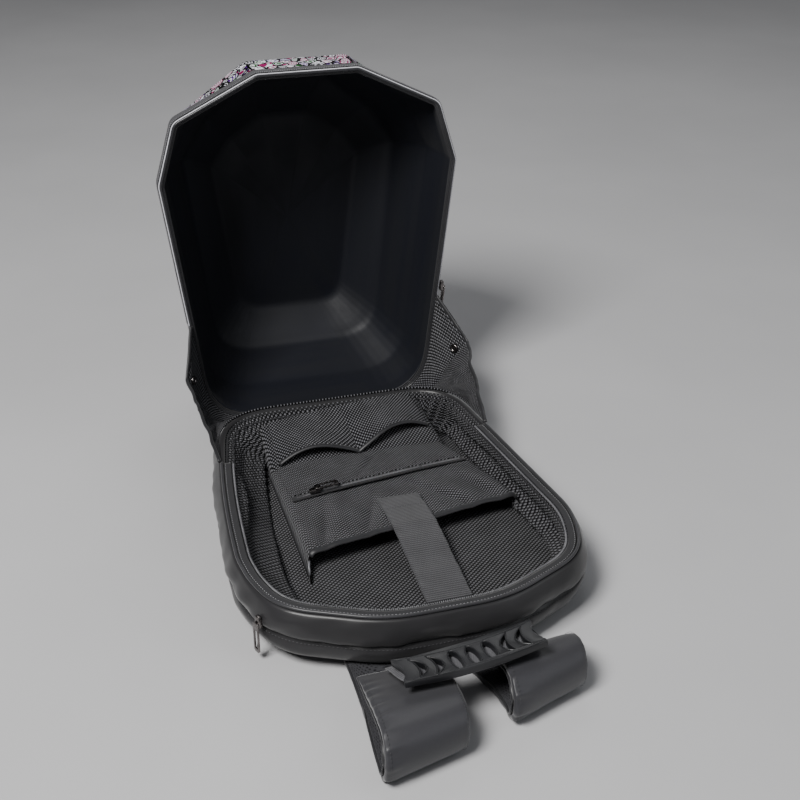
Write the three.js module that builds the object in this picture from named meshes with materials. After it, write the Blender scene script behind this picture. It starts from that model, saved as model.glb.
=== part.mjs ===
// Hard-shell helmet backpack lying open: the tray half on its back, the shell half upright behind it.
// Millimetres. The origin is on the floor under the tray's middle, +X across, +Y towards the shell, +Z up.
import * as THREE from 'three';

// Outline that both halves share, measured from the bag's bottom edge
const bottomHalfWidth = 130;
const widestHalfWidth = 165;
const widestHeight = 292;
const shoulderHalfWidth = 145;
const shoulderHeight = 358;
const topHalfWidth = 55;
const bagHeight = 402;
const bottomCornerRadius = 66;
const shellCornerRadius = 14;
const trayCornerRadius = 130;

// Clearance between pieces that touch
const clearance = 0.3;

// Hard shell half
const shellDepth = 150;
const shellWall = 3;
const shellLiningThickness = 1.5;
const rimBandWidth = 16;
const rimBandThickness = 1.2;
const pipingRadius = 1.5;
const teethHeight = 1.6;
const teethDepth = 3;
const sliderStandOff = 2;

// Cloth between the halves
const hingeGap = 85;
const gussetTop = 128;
const zipStart = 100;
const clothThickness = 2;
const gussetTipDrop = 30;
const leftTipFlare = 12;
const rightTipFlare = 27;
const hemShare = 0.22;
const floorSag = 20;
const snapRadius = 4.5;
const snapThickness = 2;

// Straps
const strapWidth = 75;
const strapThickness = 8;
const strapMeshThickness = 2.5;
const strapLoopHeight = 45;
const strapSeamThickness = 1.6;
const meshSeamThickness = 1;
const strapSeamLift = 3.3;
const underStrapLength = 150;
const webbingWidth = 25;
const webbingThickness = 2;
const buckleLength = 30;
const buckleWidth = 34;
const buckleThickness = 7;

// Tray half
const panelThickness = 5;
const wallHeight = 48.5;
const wallThickness = 3;
const wallBulge = 6;
const trayLiningThickness = 1.5;
const liningSlope = 4;
const leftLiningBulge = 34;
const nearLiningBulge = 16;
const farLiningBulge = 64;
const ruffleDepth = 2.5;
const lumbarHalfWidth = 28;
const lumbarLength = 190;
const lumbarNearEnd = 170;
const lumbarCornerRadius = 14;
const zipTapeWidth = 8;
const zipEndGap = 4;
const liningBelowRim = 2;
const leftSideSlack = 7;
const outerZipUp = 341;

// Organiser on the tray floor
const organiserShift = 23;
const organiserFarShift = -3;
const sleeveHalfWidth = 117;
const organiserFarHalfWidth = 89;
const sleeveMouthFromTop = 171;
const sleeveLength = 209;
const organiserSeam = 2;
const sleeveHeight = 18;
const sleeveEndHeight = 3;
const sleeveFootReach = 24;
const sleeveThickness = 2.5;
const slopeLead = 9;
const mouthSkew = 43;
const farSkew = 14;
const zipPocketShare = 0.92;
const zipPocketFromMouth = 90;
const zipPocketPuff = 2;
const pocketThickness = 2;
const upperPocketShare = 0.9;
const upperPocketLength = 48;
const upperPocketPuff = 13;
const mouthDip = 10;
const bandWidth = 44;
const bandThickness = 1.8;
const bandLength = 150;
const bandLean = 6;

// Handle
const gripLength = 126;
const gripWidth = 36;
const gripThickness = 5;
const gripX = 0;
const gripReach = 44;
const gripTurn = 3;
const gripTilt = 6;
const gripRoll = 4;
const gripBow = 5;
const gripSag = 2;
const crescentBulge = 5.5;
const ovalHalfWidth = 4.2;
const handleWebbingThickness = 2;
const handleDrop = 20;

// Zip pulls
const sliderLength = 11;
const sliderWidth = 8;
const sliderHeight = 4;
const pullLength = 32;
const pullWidth = 8;
const pullThickness = 1.6;
const pocketPullLength = 26;

// Heights of the layers above the floor, each resting on the one below
const padHeight = strapThickness + strapMeshThickness + clearance;
const panelBottom = padHeight + clearance;
const panelTop = panelBottom + panelThickness;
const liningFloor = panelTop + clearance + trayLiningThickness;
const rimHeight = panelBottom + wallHeight;

// Where the halves lie along Y, and the shell's lowest edge
const trayFarY = bagHeight / 2;
const shellRimY = trayFarY + hingeGap;
const shellBase = clothThickness + clearance * 2 + rimBandThickness;

const bag = new THREE.Group();

const materials = {
  shellPrint: { color: 0xe6e6ea, roughness: 0.35, metalness: 0 },
  smoothLining: { color: 0x14161c, roughness: 0.7, metalness: 0 },
  wovenLining: { color: 0x2c2d30, roughness: 0.85, metalness: 0 },
  bodyCloth: { color: 0x35363a, roughness: 0.75, metalness: 0 },
  strapCloth: { color: 0x3c3d42, roughness: 0.7, metalness: 0 },
  strapMesh: { color: 0x1f2023, roughness: 0.95, metalness: 0 },
  webbing: { color: 0x26272a, roughness: 0.85, metalness: 0 },
  zipTape: { color: 0x1b1c1f, roughness: 0.85, metalness: 0 },
  piping: { color: 0x7c7e83, roughness: 0.6, metalness: 0 },
  zipTeeth: { color: 0x4a4b4f, roughness: 0.5, metalness: 0.2 },
  gunmetal: { color: 0x5a5754, roughness: 0.35, metalness: 0.9 },
  gripRubber: { color: 0x303134, roughness: 0.6, metalness: 0 },
  bucklePlastic: { color: 0x17181a, roughness: 0.45, metalness: 0 },
};

function addPiece(name, geometry, materialName) {
  const mesh = new THREE.Mesh(geometry, new THREE.MeshStandardMaterial(materials[materialName]));
  mesh.name = name;
  bag.add(mesh);
  return mesh;
}

// Closed bodies from rows of points

function signedVolume(points, triangles) {
  let volume = 0;
  for (const [a, b, c] of triangles) {
    volume += points[a].dot(new THREE.Vector3().crossVectors(points[b], points[c])) / 6;
  }
  return volume;
}

function bodyFrom(points, triangles) {
  const outward = signedVolume(points, triangles) > 0;
  const geometry = new THREE.BufferGeometry().setFromPoints(points);
  geometry.setIndex(triangles.flatMap(([a, b, c]) => (outward ? [a, b, c] : [a, c, b])));
  geometry.computeVertexNormals();
  return geometry;
}

// Triangles that close one flat section, found in the plane that the section lies in
function sectionTriangles(section) {
  const normal = new THREE.Vector3();
  section.forEach((point, i) => {
    normal.add(new THREE.Vector3().crossVectors(point, section[(i + 1) % section.length]));
  });
  normal.normalize();
  const across = section[1].clone().sub(section[0]).normalize();
  const up = new THREE.Vector3().crossVectors(normal, across);
  const flat = section.map((point) => new THREE.Vector2(point.dot(across), point.dot(up)));
  return THREE.ShapeUtils.triangulateShape(flat, []);
}

// A quad as two triangles, split along its shorter diagonal
function splitQuad(points, a, b, c, d) {
  if (points[a].distanceTo(points[c]) < points[b].distanceTo(points[d])) return [[a, b, c], [a, c, d]];
  return [[a, b, d], [b, c, d]];
}

// Body through sections with the same number of points; a ring joins its last section to its first
function sweptBody(sections, ring = false) {
  const count = sections[0].length;
  const points = sections.flat();
  const triangles = [];
  const spans = ring ? sections.length : sections.length - 1;
  for (let i = 0; i < spans; i += 1) {
    const here = i * count;
    const next = ((i + 1) % sections.length) * count;
    for (let j = 0; j < count; j += 1) {
      const k = (j + 1) % count;
      triangles.push(...splitQuad(points, here + j, here + k, next + k, next + j));
    }
  }
  if (!ring) {
    const last = (sections.length - 1) * count;
    sectionTriangles(sections[0]).forEach(([a, b, c]) => triangles.push([a, c, b]));
    sectionTriangles(sections[0]).forEach(([a, b, c]) => triangles.push([last + a, last + b, last + c]));
  }
  return bodyFrom(points, triangles);
}

function gridNormal(grid, row, column) {
  const rows = grid.length;
  const columns = grid[0].length;
  const along = grid[Math.min(row + 1, rows - 1)][column].clone().sub(grid[Math.max(row - 1, 0)][column]);
  const across = grid[row][Math.min(column + 1, columns - 1)].clone().sub(grid[row][Math.max(column - 1, 0)]);
  return across.cross(along).normalize();
}

// Layer of cloth over a grid of points, between two distances from it along the grid's normals
function clothLayer(grid, from, to) {
  const offset = (point, i, j, distance) => point.clone().addScaledVector(gridNormal(grid, i, j), distance);
  const share = (value, i) => (typeof value === 'function' ? value(i / (grid.length - 1)) : value);
  const sections = grid.map((row, i) => [
    ...row.map((point, j) => offset(point, i, j, share(from, i))),
    ...row.map((point, j) => offset(point, i, j, share(to, i))).reverse(),
  ]);
  return sheetBody(sections, grid[0].length);
}

// Body through thin two-sided sections, whose ends are closed by quads between the two faces
function sheetBody(sections, columns) {
  const count = sections[0].length;
  const points = sections.flat();
  const triangles = [];
  for (let i = 0; i + 1 < sections.length; i += 1) {
    for (let j = 0; j < count; j += 1) {
      const k = (j + 1) % count;
      const here = i * count;
      const next = here + count;
      triangles.push(...splitQuad(points, here + j, here + k, next + k, next + j));
    }
  }
  const last = (sections.length - 1) * count;
  for (let j = 0; j + 1 < columns; j += 1) {
    const far = count - 1 - j;
    triangles.push([j, far, far - 1], [j, far - 1, j + 1]);
    triangles.push([last + j, last + far - 1, last + far], [last + j, last + j + 1, last + far - 1]);
  }
  return bodyFrom(points, triangles);
}

// Outline of one half

function insetCorners(corners, inset) {
  return corners.map((corner, i) => {
    const before = corners[(i + corners.length - 1) % corners.length];
    const after = corners[(i + 1) % corners.length];
    const arriving = corner.clone().sub(before).normalize();
    const leaving = after.clone().sub(corner).normalize();
    const turn = arriving.x * leaving.y - arriving.y * leaving.x;
    const bisector = new THREE.Vector2(-arriving.y - leaving.y, arriving.x + leaving.x).normalize();
    const halfTurn = Math.asin(THREE.MathUtils.clamp(turn, -1, 1)) / 2;
    return corner.clone().addScaledVector(bisector, inset / Math.cos(halfTurn));
  });
}

function roundCorners(corners, radii, steps) {
  const loop = [];
  corners.forEach((corner, i) => {
    const before = corners[(i + corners.length - 1) % corners.length];
    const after = corners[(i + 1) % corners.length];
    const back = before.clone().sub(corner);
    const ahead = after.clone().sub(corner);
    const halfAngle = Math.acos(back.clone().normalize().dot(ahead.clone().normalize())) / 2;
    const longest = 0.47 * Math.min(back.length(), ahead.length());
    const reach = Math.min(radii[i] / Math.tan(halfAngle), longest);
    const start = corner.clone().add(back.setLength(reach));
    const end = corner.clone().add(ahead.setLength(reach));
    const bend = new THREE.QuadraticBezierCurve(start, corner, end);
    loop.push(...bend.getPoints(steps));
  });
  return loop;
}

function outlineCorners(size) {
  const right = [
    [size.bottom, size.base], [size.widest, size.widestHeight],
    [size.shoulder, size.shoulderHeight], [size.top, size.height],
  ].map(([x, y]) => new THREE.Vector2(x, y));
  const left = right.map((corner) => new THREE.Vector2(-corner.x, corner.y)).reverse();
  return [...right, ...left];
}

const fullOutline = {
  bottom: bottomHalfWidth, base: 0, widest: widestHalfWidth, widestHeight,
  shoulder: shoulderHalfWidth, shoulderHeight, top: topHalfWidth, height: bagHeight,
};

function outlineRadii(bottomRadius, upperRadius) {
  return [bottomRadius, ...Array(6).fill(upperRadius), bottomRadius];
}

// Points of a loop with extra ones on its long stretches
function splitLongEdges(loop, longest) {
  return loop.flatMap((point, i) => {
    const next = loop[(i + 1) % loop.length];
    const pieces = Math.max(1, Math.ceil(point.distanceTo(next) / longest));
    return Array.from({ length: pieces }, (unused, k) => point.clone().lerp(next, k / pieces));
  });
}

// Stations of a loop: where each is, and which way is outward
function stationsOf(loop) {
  return loop.map((point, i) => {
    const before = loop[(i + loop.length - 1) % loop.length];
    const after = loop[(i + 1) % loop.length];
    const along = after.clone().sub(before).normalize();
    return { point, outward: new THREE.Vector2(along.y, -along.x) };
  });
}

// The stretch of a loop that is at least a height above the bottom edge, from right to left over the top
function stretchAbove(loop, height) {
  const cut = [];
  loop.forEach((point, i) => {
    const next = loop[(i + 1) % loop.length];
    if (point.y >= height) cut.push(point);
    if ((point.y < height) !== (next.y < height)) {
      cut.push(point.clone().lerp(next, (height - point.y) / (next.y - point.y)));
    }
  });
  const first = cut.findIndex((point) => point.x > 0 && Math.abs(point.y - height) < 1e-6);
  return [...cut.slice(first), ...cut.slice(0, first)];
}

// The stretch below a height, from the left end round the bottom edge to the right end, evenly spaced
function stretchBelow(loop, height, count) {
  const flipped = loop.map((point) => new THREE.Vector2(-point.x, -point.y));
  const line = stretchAbove(flipped, -height).map((point) => new THREE.Vector2(-point.x, -point.y));
  const lengths = [0];
  for (let i = 1; i < line.length; i += 1) lengths.push(lengths[i - 1] + line[i].distanceTo(line[i - 1]));
  return Array.from({ length: count + 1 }, (unused, k) => {
    const target = (lengths.at(-1) * k) / count;
    const i = Math.max(1, lengths.findIndex((length) => length >= target - 1e-9));
    const share = (target - lengths[i - 1]) / (lengths[i] - lengths[i - 1]);
    return line[i - 1].clone().lerp(line[i], share);
  });
}

const inShell = (x, up, depth) => new THREE.Vector3(x, shellRimY + depth, shellBase + up);
const inTray = (x, up, height) => new THREE.Vector3(x, trayFarY - up, height);

// Sections of a trim that follows an outline; the profile's rows are [outward, across the outline's plane]
function trimSections(stations, profile, place) {
  return stations.map(({ point, outward }) => profile.map(([out, level]) => {
    const moved = point.clone().addScaledVector(outward, out);
    return place(moved.x, moved.y, level);
  }));
}

function openStations(line) {
  return line.map((point, i) => {
    const along = line[Math.min(i + 1, line.length - 1)].clone().sub(line[Math.max(i - 1, 0)]).normalize();
    return { point, outward: new THREE.Vector2(along.y, -along.x) };
  });
}

function roundProfile(radius, out, level, sides) {
  return Array.from({ length: sides }, (unused, i) => {
    const angle = (2 * Math.PI * i) / sides;
    return [out + radius * Math.cos(angle), level + radius * Math.sin(angle)];
  });
}

const fullCorners = outlineCorners(fullOutline);
const shellLoop = roundCorners(fullCorners, outlineRadii(bottomCornerRadius, shellCornerRadius), 3);
const trayRounded = roundCorners(fullCorners, outlineRadii(bottomCornerRadius, trayCornerRadius), 4);

// The tray's soft left side leans out between its zip's end and its widest place
const trayLoop = splitLongEdges(trayRounded, 60).map((point) => {
  const share = THREE.MathUtils.clamp(point.y / widestHeight, 0, 1);
  const slack = point.x < 0 ? leftSideSlack * Math.sin(Math.PI * share) : 0;
  return new THREE.Vector2(point.x - slack, point.y);
});

// Hard shell: rings from the rim to the front plate, as shares of the outline and of the depth
const shellRings = [
  { depth: 0, bottom: 1, widest: 1, shoulder: 1, top: 1, lift: 0, widestHeight: 1,
    shoulderHeight: 1, height: 1 },
  { depth: 0.12, bottom: 1, widest: 1, shoulder: 1, top: 1, lift: 0, widestHeight: 1,
    shoulderHeight: 1, height: 1 },
  { depth: 0.4, bottom: 0.96, widest: 0.95, shoulder: 0.86, top: 1.03, lift: 0.015, widestHeight: 1,
    shoulderHeight: 0.99, height: 1 },
  { depth: 0.78, bottom: 0.8, widest: 0.8, shoulder: 0.68, top: 0.8, lift: 0.07, widestHeight: 0.97,
    shoulderHeight: 0.93, height: 0.93 },
  { depth: 1, bottom: 0.52, widest: 0.56, shoulder: 0.46, top: 0.5, lift: 0.17, widestHeight: 0.9,
    shoulderHeight: 0.83, height: 0.8 },
];

function shellRing(ring, inset, depthLoss) {
  const corners = outlineCorners({
    bottom: bottomHalfWidth * ring.bottom, base: bagHeight * ring.lift,
    widest: widestHalfWidth * ring.widest, widestHeight: widestHeight * ring.widestHeight,
    shoulder: shoulderHalfWidth * ring.shoulder, shoulderHeight: shoulderHeight * ring.shoulderHeight,
    top: topHalfWidth * ring.top, height: bagHeight * ring.height,
  });
  const radii = outlineRadii(bottomCornerRadius * ring.bottom, shellCornerRadius);
  const loop = roundCorners(insetCorners(corners, inset), radii, 3);
  return loop.map((point) => inShell(point.x, point.y, (shellDepth - depthLoss) * ring.depth));
}

function shellLayer(outerInset, innerInset) {
  const outer = shellRings.map((ring) => shellRing(ring, outerInset, outerInset)).reverse();
  const inner = shellRings.map((ring) => shellRing(ring, innerInset, innerInset));
  return sweptBody([...outer, ...inner]);
}

const liningInset = shellWall + clearance;
addPiece('hard_shell', shellLayer(0, shellWall), 'shellPrint');
addPiece('shell_lining', shellLayer(liningInset, liningInset + shellLiningThickness), 'smoothLining');

// Zip tape, its teeth and the piping round the shell's rim
const shellZipLine = openStations(stretchAbove(shellLoop, gussetTop));
const bandProfile = [
  [clearance, clearance], [clearance + rimBandThickness, clearance],
  [clearance + rimBandThickness, rimBandWidth], [clearance, rimBandWidth],
];
addPiece('shell_rim_band', sweptBody(trimSections(shellZipLine, bandProfile, inShell)), 'zipTape');

const teethOut = clearance + rimBandThickness + clearance;
const shellTeethProfile = [
  [teethOut, clearance], [teethOut + teethHeight, clearance + teethDepth / 3],
  [teethOut + teethHeight, clearance + (2 * teethDepth) / 3], [teethOut, clearance + teethDepth],
];
addPiece('shell_zip_teeth', sweptBody(trimSections(shellZipLine, shellTeethProfile, inShell)), 'zipTeeth');

const pipingProfile = roundProfile(pipingRadius, -pipingRadius, -pipingRadius - clearance, 6);
const shellPiping = trimSections(stationsOf(shellLoop), pipingProfile, inShell);
addPiece('shell_piping', sweptBody(shellPiping, true), 'piping');

// Cloth that joins the halves: one surface from rim to rim, cut into two gussets and a floor
const clothStartY = -2 * pipingRadius - 2 * clearance;
const clothColumns = 32;
const floorFirst = 11;
const floorLast = clothColumns - floorFirst;
const shellEdge = stretchBelow(shellLoop, gussetTop, clothColumns);
const trayEdge = stretchBelow(trayLoop, zipStart, clothColumns);
const clothRows = [0, 0.1, hemShare, 0.36, 0.52, 0.7, 0.86, 1];

function clothPoint(column, share) {
  const fromShell = inShell(shellEdge[column].x, shellEdge[column].y, clothStartY);
  const fromTray = inTray(trayEdge[column].x, trayEdge[column].y, rimHeight + clearance);
  const point = fromShell.lerp(fromTray, share);
  const side = 1 - (2 * column) / clothColumns;
  const flare = side > 0 ? leftTipFlare : rightTipFlare;
  const hem = share < hemShare ? share / hemShare : (1 - share) / (1 - hemShare);
  const edgeWeight = Math.abs(side) ** 2;
  point.x -= Math.sign(side) * flare * hem * edgeWeight;
  point.z -= gussetTipDrop * hem * edgeWeight;
  point.z -= floorSag * Math.sin(Math.PI * share) * (1 - Math.abs(side) ** 1.5);
  point.z = Math.max(point.z, 0);
  return point;
}

function clothGrid(first, last) {
  const columns = Array.from({ length: last - first + 1 }, (unused, i) => first + i);
  return clothRows.map((share) => columns.map((column) => clothPoint(column, share)));
}

function trimmedGrid(grid, atStart, atEnd) {
  return grid.map((row) => row.map((point, j) => {
    const away = j === 0 && atStart ? row[1] : j === row.length - 1 && atEnd ? row[row.length - 2] : null;
    if (!away) return point;
    return point.clone().addScaledVector(away.clone().sub(point).normalize(), clearance);
  }));
}

const leftCloth = trimmedGrid(clothGrid(0, floorFirst), false, true);
const floorCloth = trimmedGrid(clothGrid(floorFirst, floorLast), true, true);
const rightCloth = trimmedGrid(clothGrid(floorLast, clothColumns), true, false);
addPiece('gusset_left', clothLayer(leftCloth, 0, -clothThickness), 'wovenLining');
addPiece('gusset_right', clothLayer(rightCloth, 0, -clothThickness), 'wovenLining');
addPiece('base_gusset', clothLayer(floorCloth, 0, -clothThickness), 'wovenLining');

// Snap on each gusset's upper fold, seated on the cloth
function addSnap(name, grid, column) {
  const profile = [
    [0, 0], [snapRadius, 0], [snapRadius, snapThickness / 2],
    [snapRadius * 0.7, snapThickness], [0, snapThickness],
  ].map(([radius, height]) => new THREE.Vector2(radius, height));
  const snap = addPiece(name, new THREE.LatheGeometry(profile, 12), 'gunmetal');
  const facet = new THREE.Triangle(grid[1][column], grid[2][column], grid[2][column + 1]);
  const normal = facet.getNormal(new THREE.Vector3());
  const seat = grid[1][column].clone().lerp(grid[2][column], 0.6).lerp(grid[2][column + 1], 0.3);
  snap.quaternion.setFromUnitVectors(new THREE.Vector3(0, 1, 0), normal);
  snap.position.copy(seat).addScaledVector(normal, clothThickness + 3 * clearance);
}

addSnap('snap_left', leftCloth, 1);
addSnap('snap_right', rightCloth, rightCloth[0].length - 3);

// Tray wall: height and outward bulge as shares of the wall's own
const wallOuter = [
  { height: 0, out: -1.2 }, { height: 0.1, out: 0.3 }, { height: 0.34, out: 0.85 },
  { height: 0.46, out: 0.45 }, { height: 0.5, out: 1 }, { height: 0.72, out: 1 },
  { height: 0.92, out: 0.35 }, { height: 1, out: -0.2 },
];
const wallInner = [
  { height: 1, out: -0.2 }, { height: 0.75, out: 0.5 }, { height: 0.3, out: 0.1 }, { height: 0, out: -1.2 },
];

const wallProfile = [
  ...wallOuter.map(({ height, out }) => [out * wallBulge, panelBottom + height * wallHeight]),
  ...wallInner.map(({ height, out }) => [out * wallBulge - wallThickness, panelBottom + height * wallHeight]),
];
const trayStations = stationsOf(trayLoop);
addPiece('tray_wall', sweptBody(trimSections(trayStations, wallProfile, inTray), true), 'bodyCloth');

// Padded back panel and the pad that the tray lies on
function flatSlab(loop, bottom, thickness) {
  const shape = new THREE.Shape(loop);
  const geometry = new THREE.ExtrudeGeometry(shape, { depth: thickness, bevelEnabled: false });
  geometry.translate(0, 0, bottom);
  return geometry;
}

const panelInset = 1.2 * wallBulge + wallThickness + clearance;
const panelLoop = trayStations.map(({ point, outward }) => {
  const moved = point.clone().addScaledVector(outward, -panelInset);
  return new THREE.Vector2(moved.x, trayFarY - moved.y);
});
addPiece('back_panel', flatSlab(panelLoop, panelBottom, panelThickness), 'bodyCloth');

const lumbarLoop = roundCorners([
  new THREE.Vector2(-lumbarHalfWidth, lumbarNearEnd - lumbarLength),
  new THREE.Vector2(lumbarHalfWidth, lumbarNearEnd - lumbarLength),
  new THREE.Vector2(lumbarHalfWidth, lumbarNearEnd),
  new THREE.Vector2(-lumbarHalfWidth, lumbarNearEnd),
], Array(4).fill(lumbarCornerRadius), 3);
addPiece('lumbar_pad', flatSlab(lumbarLoop, 0, padHeight), 'strapMesh');

// Tray lining: soft sloping sides with ruffles, as shares of the depth and of the slope
const liningLevels = [
  { height: 1, slope: 0, ruffle: 0 }, { height: 0.86, slope: 0.1, ruffle: 1 },
  { height: 0.72, slope: 0.3, ruffle: -1 },
  { height: 0.56, slope: 0.45, ruffle: 1 }, { height: 0.38, slope: 0.68, ruffle: -0.8 },
  { height: 0.2, slope: 0.86, ruffle: 0.5 }, { height: 0, slope: 1, ruffle: 0 },
];
const liningTop = rimHeight - liningBelowRim;
const liningRimInset = 0.2 * wallBulge + wallThickness + 2 * clearance;

function liningLoop(level, inwards, lift) {
  const bottom = liningFloor - trayLiningThickness;
  return trayStations.map(({ point, outward }) => {
    const leftBulge = leftLiningBulge * Math.max(0, -outward.x) ** 2;
    const nearBulge = nearLiningBulge * Math.max(0, outward.y) ** 2;
    const farBulge = farLiningBulge * Math.max(0, -outward.y) ** 2;
    const slope = level.slope * (liningSlope + leftBulge + nearBulge + farBulge);
    const ruffle = ruffleDepth * level.ruffle * Math.abs(outward.x) * Math.sin(point.y / 21) ** 2;
    const inset = liningRimInset + ruffleDepth * Math.abs(level.ruffle) + slope + ruffle;
    const moved = point.clone().addScaledVector(outward, -inset - inwards);
    return inTray(moved.x, moved.y, bottom + level.height * (liningTop - bottom) + lift);
  });
}

const liningOuter = liningLevels.map((level) => liningLoop(level, 0, 0)).reverse();
const liningInner = liningLevels.map((level) => {
  return liningLoop(level, trayLiningThickness, level.height === 0 ? trayLiningThickness : 0);
});
addPiece('tray_lining', sweptBody([...liningOuter, ...liningInner]), 'wovenLining');

// Piping, zip tape and teeth round the tray's rim, from one zip end to the other
const trayZipLine = openStations(stretchAbove(trayLoop, zipStart + zipEndGap));
const trayPipingOut = -0.2 * wallBulge - pipingRadius;
const trayPipingProfile = roundProfile(pipingRadius, trayPipingOut, rimHeight + pipingRadius + clearance, 5);
addPiece('tray_piping', sweptBody(trimSections(trayZipLine, trayPipingProfile, inTray)), 'piping');

const tapeOut = trayPipingOut - pipingRadius - clearance;
const tapeLevel = rimHeight + clearance;
const tapeProfile = [
  [tapeOut, tapeLevel], [tapeOut, tapeLevel + rimBandThickness],
  [tapeOut - zipTapeWidth, tapeLevel + rimBandThickness], [tapeOut - zipTapeWidth, tapeLevel],
];
addPiece('tray_zip_tape', sweptBody(trimSections(trayZipLine, tapeProfile, inTray)), 'zipTape');

const trayTeethOut = tapeOut - zipTapeWidth - clearance;
const trayTeethProfile = [
  [trayTeethOut, tapeLevel - teethHeight / 2], [trayTeethOut, tapeLevel + teethHeight],
  [trayTeethOut - teethDepth, tapeLevel + teethHeight / 2],
];
addPiece('tray_zip_teeth', sweptBody(trimSections(trayZipLine, trayTeethProfile, inTray)), 'zipTeeth');

// Zip slider and pull: a waisted body, and a flat plate with a slot
function sliderGeometry() {
  const shape = new THREE.Shape();
  shape.moveTo(-sliderLength / 2, -sliderWidth * 0.35);
  shape.lineTo(0, -sliderWidth * 0.42);
  shape.lineTo(sliderLength / 2, -sliderWidth / 2);
  shape.lineTo(sliderLength / 2, sliderWidth / 2);
  shape.lineTo(0, sliderWidth * 0.42);
  shape.lineTo(-sliderLength / 2, sliderWidth * 0.35);
  return new THREE.ExtrudeGeometry(shape, { depth: sliderHeight, bevelEnabled: false });
}

function slotPath(left, right, halfWidth) {
  const path = new THREE.Path();
  path.moveTo(left, -halfWidth);
  path.lineTo(right, -halfWidth);
  path.lineTo(right, halfWidth);
  path.lineTo(left, halfWidth);
  return path;
}

function pullGeometry(length) {
  const shape = new THREE.Shape();
  const half = pullWidth / 2;
  const chamfer = half * 0.4;
  shape.moveTo(0, -half + chamfer);
  shape.lineTo(chamfer, -half);
  shape.lineTo(length - chamfer, -half);
  shape.lineTo(length, -half + chamfer);
  shape.lineTo(length, half - chamfer);
  shape.lineTo(length - chamfer, half);
  shape.lineTo(chamfer, half);
  shape.lineTo(0, half - chamfer);
  shape.holes.push(slotPath(length * 0.25, length - half, half * 0.52));
  return new THREE.ExtrudeGeometry(shape, { depth: pullThickness, bevelEnabled: false });
}

// A slider with its pull on the outer face, both turned so that the pull points along a direction
function addZipPull(prefix, length, position, along, outward) {
  const group = new THREE.Group();
  const slider = addPiece(`${prefix}_slider`, sliderGeometry(), 'gunmetal');
  const pull = addPiece(`${prefix}_pull`, pullGeometry(length), 'gunmetal');
  pull.position.set(0, 0, sliderHeight + clearance);
  group.add(slider, pull);
  group.position.copy(position);
  const across = new THREE.Vector3().crossVectors(outward, along).normalize();
  const upright = new THREE.Vector3().crossVectors(along, across).normalize();
  group.setRotationFromMatrix(new THREE.Matrix4().makeBasis(along, across, upright));
  bag.add(group);
}

// Outer zip: its slider hangs in the wall's fold at the near left corner
const outerStation = openStations(stretchAbove(trayLoop, outerZipUp)).at(-1);
const outerSpot = outerStation.point.clone().addScaledVector(outerStation.outward, wallBulge + 2 * clearance);
const outerFacing = new THREE.Vector3(outerStation.outward.x, -outerStation.outward.y, 0);
const outerHeight = panelBottom + wallHeight * 0.62;
const downward = new THREE.Vector3(0, 0, -1);
addZipPull('outer_zip', pullLength, inTray(outerSpot.x, outerSpot.y, outerHeight), downward, outerFacing);

// Main zip: its slider waits at the lower right end of the shell's zip, behind the rim
const mainStation = shellZipLine[0];
const mainOut = teethOut + teethHeight + sliderStandOff;
const mainSpot = mainStation.point.clone().addScaledVector(mainStation.outward, mainOut);
const mainPlace = inShell(mainSpot.x, mainSpot.y + sliderLength, sliderWidth / 2 + clearance);
const mainFacing = new THREE.Vector3(mainStation.outward.x, 0, mainStation.outward.y);
const mainAlong = new THREE.Vector3(mainStation.outward.y, 0, -mainStation.outward.x);
addZipPull('main_zip', pullLength, mainPlace, mainAlong, mainFacing);

// Organiser: a laptop sleeve with side gussets, open at the near end and rising with the lining's far slope
const organiserBase = liningFloor + 3 * clearance;
const mouthY = trayFarY - bagHeight + sleeveMouthFromTop;
const farSlopeLength = liningSlope + farLiningBulge;
const farFloorY = trayFarY - liningRimInset - farSlopeLength;

function liningRise(y) {
  const share = THREE.MathUtils.clamp((y - farFloorY + slopeLead) / farSlopeLength, 0, 1);
  return (liningTop - liningFloor) * share;
}

// Cross-section of the sleeve, as shares of the half width and height
const sleeveSection = [
  { across: -1, height: 0 }, { across: -0.985, height: 0.7 }, { across: -0.95, height: 0.96 },
  { across: -0.5, height: 1.03 }, { across: 0, height: 0.97 }, { across: 0.5, height: 1.03 },
  { across: 0.95, height: 0.96 }, { across: 0.985, height: 0.7 }, { across: 1, height: 0 },
];
const sleeveRows = [0, 0.12, 0.3, 0.5, 0.68, 0.84, 1];

const sleeveGrid = sleeveRows.map((share) => sleeveSection.map(({ across, height }) => {
  const halfWidth = THREE.MathUtils.lerp(sleeveHalfWidth, organiserFarHalfWidth, share);
  const x = THREE.MathUtils.lerp(organiserShift, organiserFarShift, share) + across * halfWidth;
  const skew = THREE.MathUtils.lerp(mouthSkew, farSkew, share) * across * 0.5;
  const foot = -sleeveFootReach * (1 - height) ** 2 * (1 - share);
  const y = mouthY + skew + share * sleeveLength + foot;
  const rise = THREE.MathUtils.lerp(sleeveHeight, sleeveEndHeight, share ** 1.5);
  return new THREE.Vector3(x, y, organiserBase + liningRise(y) + height * rise);
}));
addPiece('laptop_sleeve', clothLayer(sleeveGrid, 0, sleeveThickness), 'wovenLining');

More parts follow.
